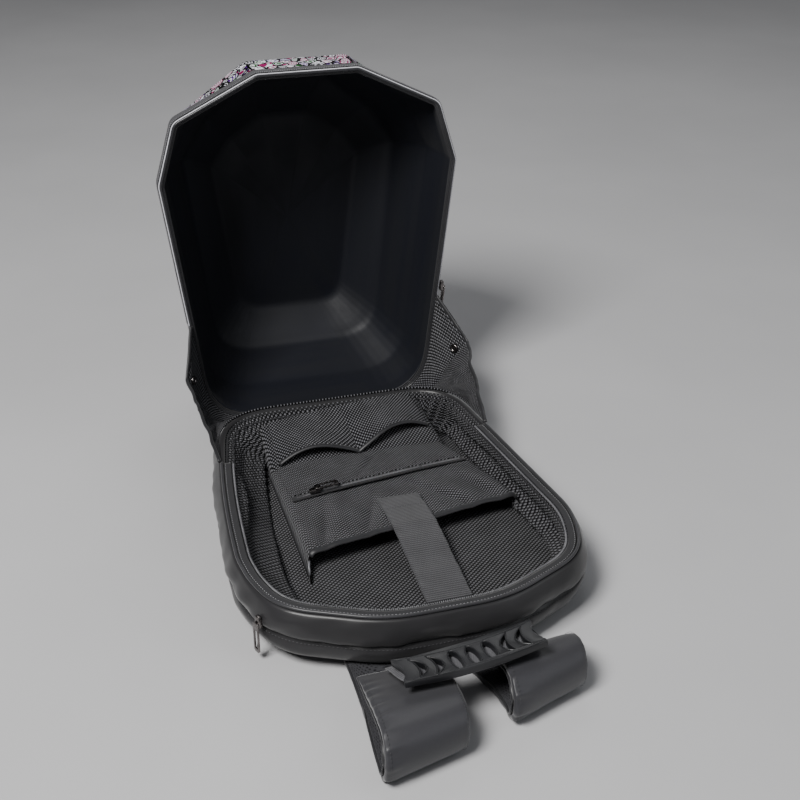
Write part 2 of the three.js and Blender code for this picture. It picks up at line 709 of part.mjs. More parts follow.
// Point on the sleeve's outer face, by share across its half width and distance from its mouth
function sleeveTop(across, distance) {
  const share = THREE.MathUtils.clamp(distance / sleeveLength, 0, 1);
  const rowBefore = sleeveRows.findLastIndex((place) => place <= share);
  const columnBefore = sleeveSection.findLastIndex((spot) => spot.across <= across);
  const row = Math.min(rowBefore, sleeveRows.length - 2);
  const column = Math.min(columnBefore, sleeveSection.length - 2);
  const rowShare = (share - sleeveRows[row]) / (sleeveRows[row + 1] - sleeveRows[row]);
  const start = sleeveSection[column].across;
  const columnShare = (across - start) / (sleeveSection[column + 1].across - start);
  const near = sleeveGrid[row][column].clone().lerp(sleeveGrid[row][column + 1], columnShare);
  const far = sleeveGrid[row + 1][column].clone().lerp(sleeveGrid[row + 1][column + 1], columnShare);
  return near.lerp(far, rowShare);
}

function shares(count) {
  return Array.from({ length: count + 1 }, (unused, i) => i / count);
}

// Grid over the sleeve between two distances from its mouth, which may depend on the place across
function overSleeve(halfShare, from, to, rows, columns, lift) {
  return shares(rows).map((v) => shares(columns).map((u) => {
    const start = typeof from === 'function' ? from(u) : from;
    const point = sleeveTop((2 * u - 1) * halfShare, start + (to - start) * v);
    point.z += sleeveThickness + 2 * clearance + lift(u, v);
    return point;
  }));
}

// Zip pocket: a padded panel behind its zip, from the zip to the far end
const zipPocketLift = (u) => zipPocketPuff * Math.sin(Math.PI * u);
const organiserEnd = sleeveLength - organiserSeam;
const zipPocketStart = zipPocketFromMouth + zipTapeWidth / 2 + clearance;
const zipPocketGrid = overSleeve(zipPocketShare, zipPocketStart, organiserEnd, 6, 8, zipPocketLift);
addPiece('zip_pocket', clothLayer(zipPocketGrid, 0, pocketThickness), 'wovenLining');

const pocketZipStart = zipPocketStart - zipTapeWidth - clearance;
const pocketZipEnd = zipPocketStart - clearance;
const pocketZipGrid = overSleeve(zipPocketShare, pocketZipStart, pocketZipEnd, 1, 8, zipPocketLift);
addPiece('pocket_zip_tape', clothLayer(pocketZipGrid, 0, pocketThickness), 'zipTape');

const pocketPullSpot = pocketZipGrid[0][1].clone().lerp(pocketZipGrid[1][1], 0.5);
pocketPullSpot.z += pocketThickness + 4 * clearance;
const pocketAlong = pocketZipGrid[0][3].clone().sub(pocketZipGrid[0][1]).normalize();
addZipPull('pocket_zip', pocketPullLength, pocketPullSpot, pocketAlong, new THREE.Vector3(0, 0, 1));

// Two slip pockets side by side at the far end, open towards the near end and sewn together down the middle
const pocketMouth = (u) => organiserEnd - upperPocketLength - mouthDip * Math.abs(Math.cos(Math.PI * u)) ** 4;
const upperPocketStart = (u) => pocketMouth(u + 0.5);
const upperPocketLift = (u, v) => {
  const puff = upperPocketPuff * Math.abs(Math.sin(2 * Math.PI * u)) ** 0.7 * (1 - v);
  return puff + zipPocketLift(u) + pocketThickness + 3 * clearance;
};
const upperEnd = organiserEnd - 1;
const upperPocketGrid = overSleeve(upperPocketShare, upperPocketStart, upperEnd, 4, 12, upperPocketLift);
addPiece('upper_pocket', clothLayer(upperPocketGrid, 0, pocketThickness), 'wovenLining');

// Band from the near end over the sleeve's mouth, as shares of its length and of the sleeve's height
const bandRows = [
  { along: 0, height: 0 }, { along: 0.28, height: 0.4 }, { along: 0.56, height: 0.85 },
  { along: 0.68, height: 1 }, { along: 1, height: 1 },
];
const bandStartY = mouthY - bandLength * 0.7;
const bandTop = sleeveHeight * 1.03 + sleeveThickness + 3 * clearance;
const bandGrid = bandRows.map(({ along, height }) => [-0.5, 0, 0.5].map((across) => {
  const x = organiserShift - bandLean * along + across * bandWidth;
  return new THREE.Vector3(x, bandStartY + along * bandLength, organiserBase + height * bandTop);
}));
addPiece('sleeve_band', clothLayer(bandGrid, 0, bandThickness), 'webbing');

// Shoulder straps: out from the near wall, round the bend and back under the tray
const straps = [
  { side: 'left', x: -48, bendX: -58, underX: -51, reach: 117, skew: 20 },
  { side: 'right', x: 69, bendX: 63, underX: 41, reach: 77, skew: 28 },
];
const nearWallY = trayFarY - bagHeight - wallBulge - clearance;
const bendRadius = strapLoopHeight / 2;

// Outer face of a strap along its length: y, height, share of the bend done and share of the lower layer
function strapLine(strap) {
  const bendY = nearWallY - strap.reach + bendRadius;
  const upper = new THREE.CubicBezierCurve(
    new THREE.Vector2(nearWallY, panelBottom + strapSeamLift),
    new THREE.Vector2(nearWallY - strap.reach * 0.2, panelBottom + strapLoopHeight * 0.3),
    new THREE.Vector2(bendY + strap.reach * 0.32, strapLoopHeight),
    new THREE.Vector2(bendY, strapLoopHeight),
  );
  const upperRows = upper.getPoints(7).map((point, i) => ({
    y: point.x, z: point.y, wrap: (0.5 * i) / 7, under: 0,
  }));
  const bendRows = shares(8).slice(1).map((share) => ({
    y: bendY - bendRadius * Math.sin(Math.PI * share),
    z: bendRadius + bendRadius * Math.cos(Math.PI * share), wrap: 0.5 + 0.5 * share, under: 0,
  }));
  const lowerEnd = nearWallY + underStrapLength;
  const lowerRows = shares(5).slice(1).map((share) => ({
    y: THREE.MathUtils.lerp(bendY, lowerEnd, share), z: 0, wrap: 1 - share, under: share,
  }));
  return [...upperRows, ...bendRows, ...lowerRows];
}

function strapGrid(strap) {
  return strapLine(strap).map(({ y, z, wrap, under }) => {
    const bent = Math.sin(Math.PI * Math.min(wrap, 1) * 0.5) * (under > 0 ? 1 - under : 1);
    const settled = THREE.MathUtils.smoothstep(under, 0, 0.5);
    const upperMiddle = THREE.MathUtils.lerp(strap.x, strap.bendX, bent);
    const middle = THREE.MathUtils.lerp(upperMiddle, strap.underX, settled);
    return [-0.5, -0.17, 0.17, 0.5].map((across) => {
      return new THREE.Vector3(middle + across * strapWidth, y + across * strap.skew * bent, z);
    });
  });
}

// The padding thins towards the seam at the wall
function padShare(share) {
  return THREE.MathUtils.smoothstep(share, 0, 0.2);
}

for (const strap of straps) {
  const grid = strapGrid(strap);
  const padded = (share, atSeam, full) => THREE.MathUtils.lerp(atSeam, full, padShare(share));
  const coverDepth = (share) => padded(share, strapSeamThickness, strapThickness);
  const meshTop = (share) => coverDepth(share) + clearance;
  const meshDepth = (share) => meshTop(share) + padded(share, meshSeamThickness, strapMeshThickness);
  addPiece(`strap_${strap.side}`, clothLayer(grid, 0, coverDepth), 'strapCloth');
  addPiece(`strap_${strap.side}_mesh`, clothLayer(grid, meshTop, meshDepth), 'strapMesh');
}

// Ladder buckle at each strap's lower end, and webbing from it to the tray's bottom corner
function buckleGeometry() {
  const shape = new THREE.Shape();
  shape.moveTo(-buckleWidth / 2, 0);
  shape.lineTo(buckleWidth / 2, 0);
  shape.lineTo(buckleWidth * 0.42, buckleLength);
  shape.lineTo(-buckleWidth * 0.42, buckleLength);
  return new THREE.ExtrudeGeometry(shape, { depth: buckleThickness, bevelEnabled: false });
}

for (const strap of straps) {
  const startY = nearWallY + underStrapLength + clearance;
  const buckle = addPiece(`buckle_${strap.side}`, buckleGeometry(), 'bucklePlastic');
  buckle.position.set(strap.underX, startY, 0);

  const side = Math.sign(strap.underX);
  const from = new THREE.Vector3(strap.underX, startY + buckleLength + webbingWidth / 4, 0);
  const cornerX = side * (bottomHalfWidth - webbingWidth);
  const corner = new THREE.Vector3(cornerX, trayFarY - bottomCornerRadius * 0.6, 0);
  const along = corner.clone().sub(from).normalize();
  const across = new THREE.Vector3(along.y, -along.x, 0);
  const grid = shares(8).map((share) => {
    const lift = (padHeight - webbingThickness) * THREE.MathUtils.smoothstep(share, 0.75, 1);
    return [-0.5, 0.5].map((offset) => {
      const point = from.clone().lerp(corner, share).addScaledVector(across, offset * webbingWidth);
      point.z = lift;
      return point;
    });
  });
  addPiece(`webbing_${strap.side}`, clothLayer(grid, 0, webbingThickness), 'webbing');
}

// Handle: a moulded grip over a webbing strip whose ends turn back and are sewn to the near wall
const handle = new THREE.Group();
const gripLift = (gripLength / 2) * Math.sin(THREE.MathUtils.degToRad(gripRoll));
const gripBase = strapLoopHeight + handleWebbingThickness + 2 * clearance + gripLift;
handle.position.set(gripX, nearWallY - gripReach, gripBase);
handle.rotation.set(...[-gripTilt, -gripRoll, gripTurn].map(THREE.MathUtils.degToRad));
bag.add(handle);

// Bow and sag of the handle between its ends
function handleBend(x) {
  const middle = 1 - Math.min(1, Math.abs(2 * x) / gripLength) ** 2;
  return { bow: -gripBow * middle, sag: -gripSag * middle };
}

function crescent(x, halfHeight, bulge) {
  const path = new THREE.Path();
  path.moveTo(x - bulge, -halfHeight);
  path.quadraticCurveTo(x + 2.6 * bulge, 0, x - bulge, halfHeight);
  path.quadraticCurveTo(x + 0.6 * bulge, 0, x - bulge, -halfHeight);
  return path;
}

function oval(x, halfWidth, halfHeight) {
  const path = new THREE.Path();
  path.absellipse(x, 0, halfWidth, halfHeight, 0, 2 * Math.PI);
  return path;
}

// Grip seen from above: horned ends, crescents towards the ends and ovals in the middle
function gripShape() {
  const half = gripLength / 2;
  const side = gripWidth / 2;
  const shape = new THREE.Shape();
  shape.moveTo(-half, -side);
  shape.quadraticCurveTo(0, -side * 0.8, half, -side);
  shape.lineTo(half, -side * 0.78);
  shape.quadraticCurveTo(half * 0.84, 0, half, side * 0.78);
  shape.lineTo(half, side);
  shape.quadraticCurveTo(0, side * 0.8, -half, side);
  shape.lineTo(-half, side * 0.78);
  shape.quadraticCurveTo(-half * 0.84, 0, -half, -side * 0.78);
  const holeHeight = side * 0.74;
  [-0.7, -0.47].forEach((place) => shape.holes.push(crescent(place * half, holeHeight, crescentBulge)));
  [-0.22, 0.02, 0.26].forEach((place) => shape.holes.push(oval(place * half, ovalHalfWidth, holeHeight)));
  [0.5, 0.73].forEach((place) => shape.holes.push(crescent(place * half, holeHeight, -crescentBulge)));
  return shape;
}

function bendAlong(geometry) {
  const position = geometry.attributes.position;
  for (let i = 0; i < position.count; i += 1) {
    const { bow, sag } = handleBend(position.getX(i));
    position.setXYZ(i, position.getX(i), position.getY(i) + bow, position.getZ(i) + sag);
  }
  return geometry;
}

const gripGeometry = new THREE.ExtrudeGeometry(gripShape(), {
  depth: gripThickness, bevelEnabled: false, curveSegments: 5,
});
handle.add(addPiece('handle_grip', bendAlong(gripGeometry), 'gripRubber'));

// Webbing rows from the left sewn end to the middle: shares of half the grip's length and of the reach to the
// wall for both edges, and of the drop to the wall's seam
const handleRows = [
  { inner: 0.6, innerReach: 0.9, outer: 1, outerReach: 0.9, drop: 0.85 },
  { inner: 0.6, innerReach: 0.6, outer: 1.02, outerReach: 0.5, drop: 0.36 },
  { inner: 0.6, innerReach: 0.35, outer: 0.98, outerReach: -0.1, drop: 0 },
  { inner: 0.56, innerReach: 0.32, outer: 0.8, outerReach: -0.3, drop: 0 },
  { inner: 0.25, innerReach: 0.32, outer: 0.3, outerReach: -0.32, drop: 0 },
];

function handleWebbingRow({ inner, innerReach, outer, outerReach, drop }, side) {
  return [[inner, innerReach], [outer, outerReach]].map(([place, reach]) => {
    const x = (side * place * gripLength) / 2;
    const { bow, sag } = handleBend(x);
    const y = reach * gripReach + (drop > 0 ? 0 : bow);
    return new THREE.Vector3(x, y, sag - clearance - handleWebbingThickness - drop * handleDrop);
  });
}

const handleWebbing = [
  ...handleRows.map((row) => handleWebbingRow(row, -1)),
  ...handleRows.map((row) => handleWebbingRow(row, 1)).reverse(),
];
handle.add(addPiece('handle_webbing', clothLayer(handleWebbing, 0, handleWebbingThickness), 'webbing'));

export default bag;
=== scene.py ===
# Hard-shell helmet backpack lying open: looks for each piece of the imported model
import bisect
import math
import bpy
import bmesh
from mathutils import Matrix, Vector, noise


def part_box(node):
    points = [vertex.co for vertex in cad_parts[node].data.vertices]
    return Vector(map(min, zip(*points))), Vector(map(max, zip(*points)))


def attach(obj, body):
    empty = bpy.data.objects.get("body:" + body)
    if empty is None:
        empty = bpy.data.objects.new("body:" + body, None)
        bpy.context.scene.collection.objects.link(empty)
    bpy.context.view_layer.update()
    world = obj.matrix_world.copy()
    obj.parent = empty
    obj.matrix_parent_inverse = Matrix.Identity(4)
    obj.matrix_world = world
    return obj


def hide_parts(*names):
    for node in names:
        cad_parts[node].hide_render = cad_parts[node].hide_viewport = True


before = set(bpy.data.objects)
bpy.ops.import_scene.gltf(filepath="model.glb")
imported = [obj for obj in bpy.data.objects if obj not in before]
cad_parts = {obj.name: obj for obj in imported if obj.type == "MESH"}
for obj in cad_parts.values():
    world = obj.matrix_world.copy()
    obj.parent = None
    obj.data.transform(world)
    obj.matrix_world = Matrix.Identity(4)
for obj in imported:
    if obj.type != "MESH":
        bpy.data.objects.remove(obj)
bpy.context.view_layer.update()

mm = 0.001

# the bag's sizes in millimetres, as the frame has them
bag = {
    "bottomHalfWidth": 130, "widestHalfWidth": 165, "widestHeight": 292,
    "shoulderHalfWidth": 145, "shoulderHeight": 358, "topHalfWidth": 55, "height": 402,
    "bottomRadius": 66, "shellRadius": 14, "trayRadius": 130,
    "shellDepth": 150, "shellRimY": 286, "shellBase": 3.8, "trayFarY": 201,
    "panelBottom": 11.1, "panelTop": 16.1, "rimHeight": 59.6, "nearWallY": -207.3,
}


# shares, waves and noise

def smoothStep(value, low, high):
    share = max(0.0, min(1.0, (value - low) / (high - low)))
    return share * share * (3 - 2 * share)


def mix(a, b, share):
    return a + (b - a) * share


# half a sine wave, from 0 up to 1 and back
def arch(share):
    return math.sin(math.pi * share)


# a bell curve with its top at 0
def hump(away, width):
    return math.exp(-(away / width) ** 2)


def ridges(x, y, seed=0.0):
    return noise.noise(Vector((x, y, seed)))


# outlines and lines that pieces follow

def outlineCorners(bottom, base, widest, widestHeight, shoulder, shoulderHeight, top, height):
    right = [(bottom, base), (widest, widestHeight), (shoulder, shoulderHeight), (top, height)]
    left = [(-x, y) for x, y in reversed(right)]
    return [Vector(corner) for corner in right + left]


def insetCorners(corners, inset):
    moved = []
    for i, corner in enumerate(corners):
        arriving = (corner - corners[i - 1]).normalized()
        leaving = (corners[(i + 1) % len(corners)] - corner).normalized()
        turn = max(-1, min(1, arriving.x * leaving.y - arriving.y * leaving.x))
        bisector = Vector((-arriving.y - leaving.y, arriving.x + leaving.x)).normalized()
        moved.append(corner + bisector * inset / math.cos(math.asin(turn) / 2))
    return moved


def roundCorners(corners, bottomRadius, upperRadius, steps=8):
    loop = []
    for i, corner in enumerate(corners):
        radius = bottomRadius if i in (0, 7) else upperRadius
        back, ahead = corners[i - 1] - corner, corners[(i + 1) % 8] - corner
        half = math.acos(max(-1, min(1, back.normalized().dot(ahead.normalized())))) / 2
        reach = min(radius / math.tan(half), 0.47 * min(back.length, ahead.length))
        start, end = corner + back.normalized() * reach, corner + ahead.normalized() * reach
        for k in range(steps + 1):
            t = k / steps
            loop.append(start * (1 - t) ** 2 + corner * 2 * t * (1 - t) + end * t * t)
    return loop


def stretchAbove(loop, height):
    cut = []
    for i, point in enumerate(loop):
        after = loop[(i + 1) % len(loop)]
        if point.y >= height:
            cut.append(point)
        if (point.y < height) != (after.y < height):
            cut.append(point.lerp(after, (height - point.y) / (after.y - point.y)))
    first = next(i for i, point in enumerate(cut) if point.x > 0 and abs(point.y - height) < 1e-4)
    return cut[first:] + cut[:first]


def stretchBelow(loop, height):
    return [-point for point in stretchAbove([-point for point in loop], -height)]


def measuredLine(points, closed=False):
    points = list(points) + ([points[0]] if closed else [])
    lengths = [0.0]
    for a, b in zip(points, points[1:]):
        lengths.append(lengths[-1] + (b - a).length)
    return {"points": points, "lengths": lengths, "length": lengths[-1], "closed": closed}


def lineAt(line, share):
    if line["closed"]:
        share = share % 1.0
    target = max(0.0, min(1.0, share)) * line["length"]
    i = max(1, min(len(line["lengths"]) - 1, bisect.bisect_left(line["lengths"], target)))
    span = line["lengths"][i] - line["lengths"][i - 1]
    part = (target - line["lengths"][i - 1]) / span if span > 1e-9 else 0
    return line["points"][i - 1].lerp(line["points"][i], part)


def outwardAt(line, share, reach=3.0):
    step = reach / line["length"]
    before, after = share - step, share + step
    if not line["closed"]:
        before, after = max(0, before), min(1, after)
    along = (lineAt(line, after) - lineAt(line, before)).normalized()
    return Vector((along.y, -along.x))


def inShell(x, up, depth):
    return Vector((x, bag["shellRimY"] + depth, bag["shellBase"] + up))


def inTray(x, up, height):
    return Vector((x, bag["trayFarY"] - up, height))


fullCorners = outlineCorners(bag["bottomHalfWidth"], 0, bag["widestHalfWidth"], bag["widestHeight"],
                             bag["shoulderHalfWidth"], bag["shoulderHeight"], bag["topHalfWidth"],
                             bag["height"])
shellLoop = roundCorners(fullCorners, bag["bottomRadius"], bag["shellRadius"])
trayRing = measuredLine(roundCorners(fullCorners, bag["bottomRadius"], bag["trayRadius"]), True)
trayLoop = [lineAt(trayRing, k / 240) for k in range(240)]
for point in trayLoop:
    if point.x < 0:  # the soft left side leans out a little
        point.x -= 7 * arch(max(0, min(1, point.y / bag["widestHeight"])))


# mesh helpers

# the value at a place in a table of (place, value) rows, eased a little between them
def tableAt(rows, share):
    for (start, low), (end, high) in zip(rows, rows[1:]):
        if share <= end or end == rows[-1][0]:
            part = (share - start) / (end - start)
            return mix(low, high, smoothStep(part, 0, 1) * 0.35 + part * 0.65)


def finishPiece(name, bm, look, nodes=()):
    mesh = bpy.data.meshes.new(name)
    bm.to_mesh(mesh)
    bm.free()
    mesh.polygons.foreach_set("use_smooth", [True] * len(mesh.polygons))
    piece = bpy.data.objects.new(name, mesh)
    bpy.context.scene.collection.objects.link(piece)
    mesh.materials.append(looks[look])
    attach(piece, "root")
    if nodes:
        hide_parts(*nodes)
    return piece


# a grid whose points are placed by a function of its two shares; size is its flat size in millimetres
def placedGrid(columns, rows, place, size, joined=False):
    bm = bmesh.new()
    uvLayer = bm.loops.layers.uv.new("flat")
    bmesh.ops.create_grid(bm, x_segments=columns, y_segments=rows, size=0.5)
    for face in bm.faces:
        for loop in face.loops:
            spot = loop.vert.co
            loop[uvLayer].uv = ((spot.x + 0.5) * size[0] * mm, (spot.y + 0.5) * size[1] * mm)
    for vert in bm.verts:
        vert.co = place(vert.co.x + 0.5, vert.co.y + 0.5) * mm
    if joined:
        bmesh.ops.remove_doubles(bm, verts=bm.verts, dist=2e-6)
    return bm


# a sheet of cloth with its thickness on both sides of the placed grid
def clothPiece(name, columns, rows, place, size, thickness, look, nodes=(), joined=False):
    piece = finishPiece(name, placedGrid(columns, rows, place, size, joined), look, nodes)
    layers = piece.modifiers.new("thickness", "SOLIDIFY")
    layers.thickness, layers.offset = thickness * mm, 0
    layers.use_even_offset, layers.use_rim = False, True
    return piece


# a tube of placed rings, capped where its line is open
def tubePiece(name, columns, rows, place, size, look, nodes=(), capped=True):
    bm = placedGrid(columns, rows, place, size, True)
    if capped:
        bmesh.ops.holes_fill(bm, edges=[edge for edge in bm.edges if edge.is_boundary])
    bmesh.ops.recalc_face_normals(bm, faces=bm.faces)
    return finishPiece(name, bm, look, nodes)


# a closed profile carried along a line; profile points are (outward, level)
def trimPiece(name, line, count, profile, place, look, nodes=()):
    around = measuredLine([Vector(p) for p in profile], True)
    stations = [(lineAt(line, k / count), outwardAt(line, k / count)) for k in range(count + 1)]

    def spot(u, v):
        k = min(count, int(round(u * count)))
        point, outward = stations[0 if line["closed"] and k == count else k]
        section = lineAt(around, v)
        moved = point + outward * section.x
        return place(moved.x, moved.y, section.y)

    return tubePiece(name, count, len(profile), spot, (line["length"], around["length"]), look,
                     nodes, not line["closed"])


def ringProfile(radius, out, level, sides):
    turns = [2 * math.pi * k / sides for k in range(sides)]
    return [(out + radius * math.cos(turn), level + radius * math.sin(turn)) for turn in turns]


# a CAD node's shape with its edges rounded
def roundedCopy(name, node, width, segments, look, angle=25):
    bm = bmesh.new()
    bm.from_mesh(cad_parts[node].data)
    bmesh.ops.remove_doubles(bm, verts=bm.verts, dist=1e-5)
    bmesh.ops.dissolve_limit(bm, angle_limit=math.radians(0.6), verts=bm.verts, edges=bm.edges)
    sharp = [edge for edge in bm.edges
             if len(edge.link_faces) == 2 and edge.calc_face_angle(0) > math.radians(angle)]
    bmesh.ops.bevel(bm, geom=sharp, offset=width * mm, offset_type="OFFSET", segments=segments, profile=0.5,
                    affect="EDGES", clamp_overlap=True, material=-1)
    bmesh.ops.recalc_face_normals(bm, faces=bm.faces)
    return finishPiece(name, bm, look, (node,))


# many small rounded bodies in one piece: rows of stitches, zip teeth
def beadRow(name, places, size, look, nodes=()):
    bead = bmesh.new()
    bmesh.ops.create_icosphere(bead, subdivisions=1, radius=0.5)
    beadMesh = bpy.data.meshes.new(name + "_one")
    bead.to_mesh(beadMesh)
    bead.free()
    bm = bmesh.new()
    for point, along, normal in places:
        along = along.normalized()
        across = normal.cross(along).normalized()
        turn = Matrix((along, across, along.cross(across))).transposed().to_4x4()
        scale = Matrix.Diagonal((*[s * mm for s in size], 1))
        scaled = beadMesh.copy()
        scaled.transform(Matrix.Translation(point * mm) @ turn @ scale)
        bm.from_mesh(scaled)
        bpy.data.meshes.remove(scaled)
    bpy.data.meshes.remove(beadMesh)
    return finishPiece(name, bm, look, nodes)


# stitches that follow a path lying on a surface
def stitchesAlong(points, pitch, lift=0.0, normals=None):
    line = measuredLine(points)
    count = max(1, int(line["length"] / pitch))
    places = []
    for k in range(count):
        share = (k + 0.5) / count
        point = lineAt(line, share)
        along = lineAt(line, share + 0.3 / count) - lineAt(line, share - 0.3 / count)
        normal = normals(share) if callable(normals) else (normals or Vector((0, 0, 1)))
        places.append((point + normal * lift, along, normal))
    return places


# materials

def startMaterial(name, roughness, base, coords="UV", sheen=0.0, metallic=0.0, specular=0.5):
    material = bpy.data.materials.new(name)
    material.use_nodes = True
    tree = material.node_tree
    shader = tree.nodes["Principled BSDF"]
    values = {"Base Color": (*base, 1), "Roughness": roughness, "Metallic": metallic,
              "Specular IOR Level": specular, "Sheen Weight": sheen, "Sheen Roughness": 0.45}
    for socket, value in values.items():
        shader.inputs[socket].default_value = value
    return material, tree, shader, tree.nodes.new("ShaderNodeTexCoord").outputs[coords]


def mathNode(tree, operation, a, b=None, clamp=False):
    node = tree.nodes.new("ShaderNodeMath")
    node.operation = operation
    node.use_clamp = clamp
    for socket, value in zip(node.inputs, (a, b)):
        if isinstance(value, (int, float)):
            socket.default_value = value
        elif value is not None:
            tree.links.new(value, socket)
    return node.outputs[0]


def plus(tree, a, b, clamp=False):
    return mathNode(tree, "ADD", a, b, clamp)


def times(tree, a, b):
    return mathNode(tree, "MULTIPLY", a, b)


# a new node with one input linked and the others set; gives one of its outputs
def nodeAfter(tree, kind, source, socket, values, output=0):
    node = tree.nodes.new("ShaderNode" + kind)
    for key, value in values.items():
        node.inputs[key].default_value = value
    tree.links.new(source, node.inputs[socket])
    return node.outputs[output]


def mappedTo(tree, where, scale, turn=0.0):
    values = {"Scale": scale, "Rotation": (0, 0, math.radians(turn))}
    return nodeAfter(tree, "Mapping", where, "Vector", values)


def noiseAt(tree, where, scale, detail=3.0, roughness=0.55):
    values = {"Scale": scale, "Detail": detail, "Roughness": roughness}
    return nodeAfter(tree, "TexNoise", where, "Vector", values, "Fac")


def colourRamp(tree, value, stops, hard=False):
    node = tree.nodes.new("ShaderNodeValToRGB")
    ramp = node.color_ramp
    ramp.interpolation = "CONSTANT" if hard else "LINEAR"
    while len(ramp.elements) < len(stops):
        ramp.elements.new(0.5)
    for element, (place, colour) in zip(ramp.elements, stops):
        element.position = place
        element.color = (*colour, 1)
    tree.links.new(value, node.inputs[0])
    return node.outputs["Color"]


def spread(tree, value, low, high, newLow=0.0, newHigh=1.0):
    return nodeAfter(tree, "MapRange", value, 0, {1: low, 2: high, 3: newLow, 4: newHigh})


def axesOf(tree, where):
    node = tree.nodes.new("ShaderNodeSeparateXYZ")
    tree.links.new(where, node.inputs[0])
    return node.outputs[0], node.outputs[1]


def addBump(tree, shader, height, strength, distance):
    bump = nodeAfter(tree, "Bump", height, "Height", {"Strength": strength, "Distance": distance * mm})
    tree.links.new(bump, shader.inputs["Normal"])


# colour from a tone, roughness from a spread, and the relief; then the look is complete
def finishLook(tree, shader, tone, stops, shine, height, strength, distance):
    tree.links.new(colourRamp(tree, tone, stops), shader.inputs["Base Color"])
    tree.links.new(spread(tree, *shine), shader.inputs["Roughness"])
    addBump(tree, shader, height, strength, distance)


# pillows of a diamond weave: 1 on top of each thread crossing, 0 in the gaps
def diamondWeave(tree, where, pitch, turn=45, squeeze=1.0):
    turned = mappedTo(tree, where, (math.pi / (pitch * mm), squeeze * math.pi / (pitch * mm), 1), turn)
    sides = [mathNode(tree, "ABSOLUTE", mathNode(tree, "SINE", axis)) for axis in axesOf(tree, turned)]
    return times(tree, *sides)


# coarse woven cloth; the gaps between its threads are painted near black as painted shade, with less specular
# there too
def clothLook(name, dark, light, pitch, depth, turn=45, squeeze=1.0):
    material, tree, shader, where = startMaterial(name, 0.5, light, sheen=0.04, specular=0.3)
    weave = diamondWeave(tree, where, pitch, turn, squeeze)
    cloudy = noiseAt(tree, where, 35)
    fuzz = noiseAt(tree, where, 2600, 2)
    tone = plus(tree, times(tree, weave, 0.75), times(tree, mathNode(tree, "SUBTRACT", cloudy, 0.5), 0.35))
    tone = plus(tree, tone, times(tree, mathNode(tree, "SUBTRACT", fuzz, 0.5), 0.3), True)
    tree.links.new(spread(tree, weave, 0.15, 0.7, 0.05, 0.5), shader.inputs["Specular IOR Level"])
    # painted shade: the dark end of this ramp fills the gaps between the threads
    finishLook(tree, shader, tone, [(0.23, dark), (0.6, light)], (weave, 0, 1, 0.65, 0.35),
               plus(tree, weave, times(tree, fuzz, 0.2)), 1.0, depth)
    return material


# fine coated cloth: a weave too fine to count, with a soft sheen and faint handling marks
def coatedLook(name, dark, light, roughness, sheen, coords="UV"):
    material, tree, shader, where = startMaterial(name, roughness, light, coords, sheen=sheen, specular=0.35)
    weave = diamondWeave(tree, where, 0.8, 30)
    cloudy = noiseAt(tree, where, 18, 4)
    fuzz = noiseAt(tree, where, 1500, 2)
    tone = plus(tree, times(tree, weave, 0.06), times(tree, cloudy, 0.64))
    tone = plus(tree, tone, times(tree, fuzz, 0.3), True)
    finishLook(tree, shader, tone, [(0.2, dark), (0.75, light)],
               (cloudy, 0.3, 0.7, roughness + 0.08, roughness - 0.08),
               plus(tree, times(tree, weave, 0.25), fuzz), 0.25, 0.1)
    return material


# woven tape and webbing: ribs across its width, on the flat size that the piece's UV map holds; the grooves
# between the ribs are painted darker as painted shade
def ribbedLook(name, dark, light, ribPitch, ribsRun="X", bump=0.5, depth=0.35):
    material, tree, shader, where = startMaterial(name, 0.8, light, sheen=0.1, specular=0.3)
    axes = axesOf(tree, mappedTo(tree, where, (math.pi / (ribPitch * mm),) * 3))
    across, along = axes if ribsRun == "X" else reversed(axes)
    slant = plus(tree, times(tree, along, 1.6), times(tree, across, 0.5))
    rib, thread = [mathNode(tree, "ABSOLUTE", mathNode(tree, "SINE", way)) for way in (across, slant)]
    weave = plus(tree, times(tree, rib, 0.65), times(tree, thread, 0.35))
    tone = plus(tree, times(tree, weave, 0.8), times(tree, noiseAt(tree, where, 60), 0.3), True)
    # painted shade: the dark end of this ramp darkens the grooves between the ribs
    finishLook(tree, shader, tone, [(0.15, dark), (0.95, light)], (rib, 0, 1, 0.92, 0.7), weave, bump, depth)
    return material


# open knitted mesh: round holes in a staggered grid, which are the mesh's own; their near-black colour is
# painted shade inside the holes
def knitLook(name, dark, light, pitch):
    material, tree, shader, where = startMaterial(name, 0.9, light, "UV", sheen=0.1, specular=0.2)
    cells = tree.nodes.new("ShaderNodeTexVoronoi")
    cells.inputs["Scale"].default_value = 1 / (pitch * mm)
    cells.inputs["Randomness"].default_value = 0.25
    tree.links.new(mappedTo(tree, where, (1, 0.8, 1), 45), cells.inputs["Vector"])
    hole = spread(tree, cells.outputs["Distance"], 0.18, 0.42)
    tone = plus(tree, times(tree, hole, 0.8), times(tree, noiseAt(tree, where, 300), 0.3), True)
    # painted shade: the dark end of this ramp fills the holes
    finishLook(tree, shader, tone, [(0.1, dark), (0.95, light)], (hole, 0, 1, 1.0, 0.8), hole, 0.6, 0.8)
    return material


def mouldedLook(name, dark, light, roughness, grain=900, bump=0.15):
    material, tree, shader, where = startMaterial(name, roughness, light, "Object")
    fine, cloudy = noiseAt(tree, where, grain, 3), noiseAt(tree, where, 25, 3)
    tone = plus(tree, times(tree, fine, 0.4), times(tree, cloudy, 0.6))
    finishLook(tree, shader, tone, [(0.3, dark), (0.7, light)],
               (cloudy, 0.3, 0.7, roughness - 0.06, roughness + 0.08), fine, bump, 0.15)
    return material


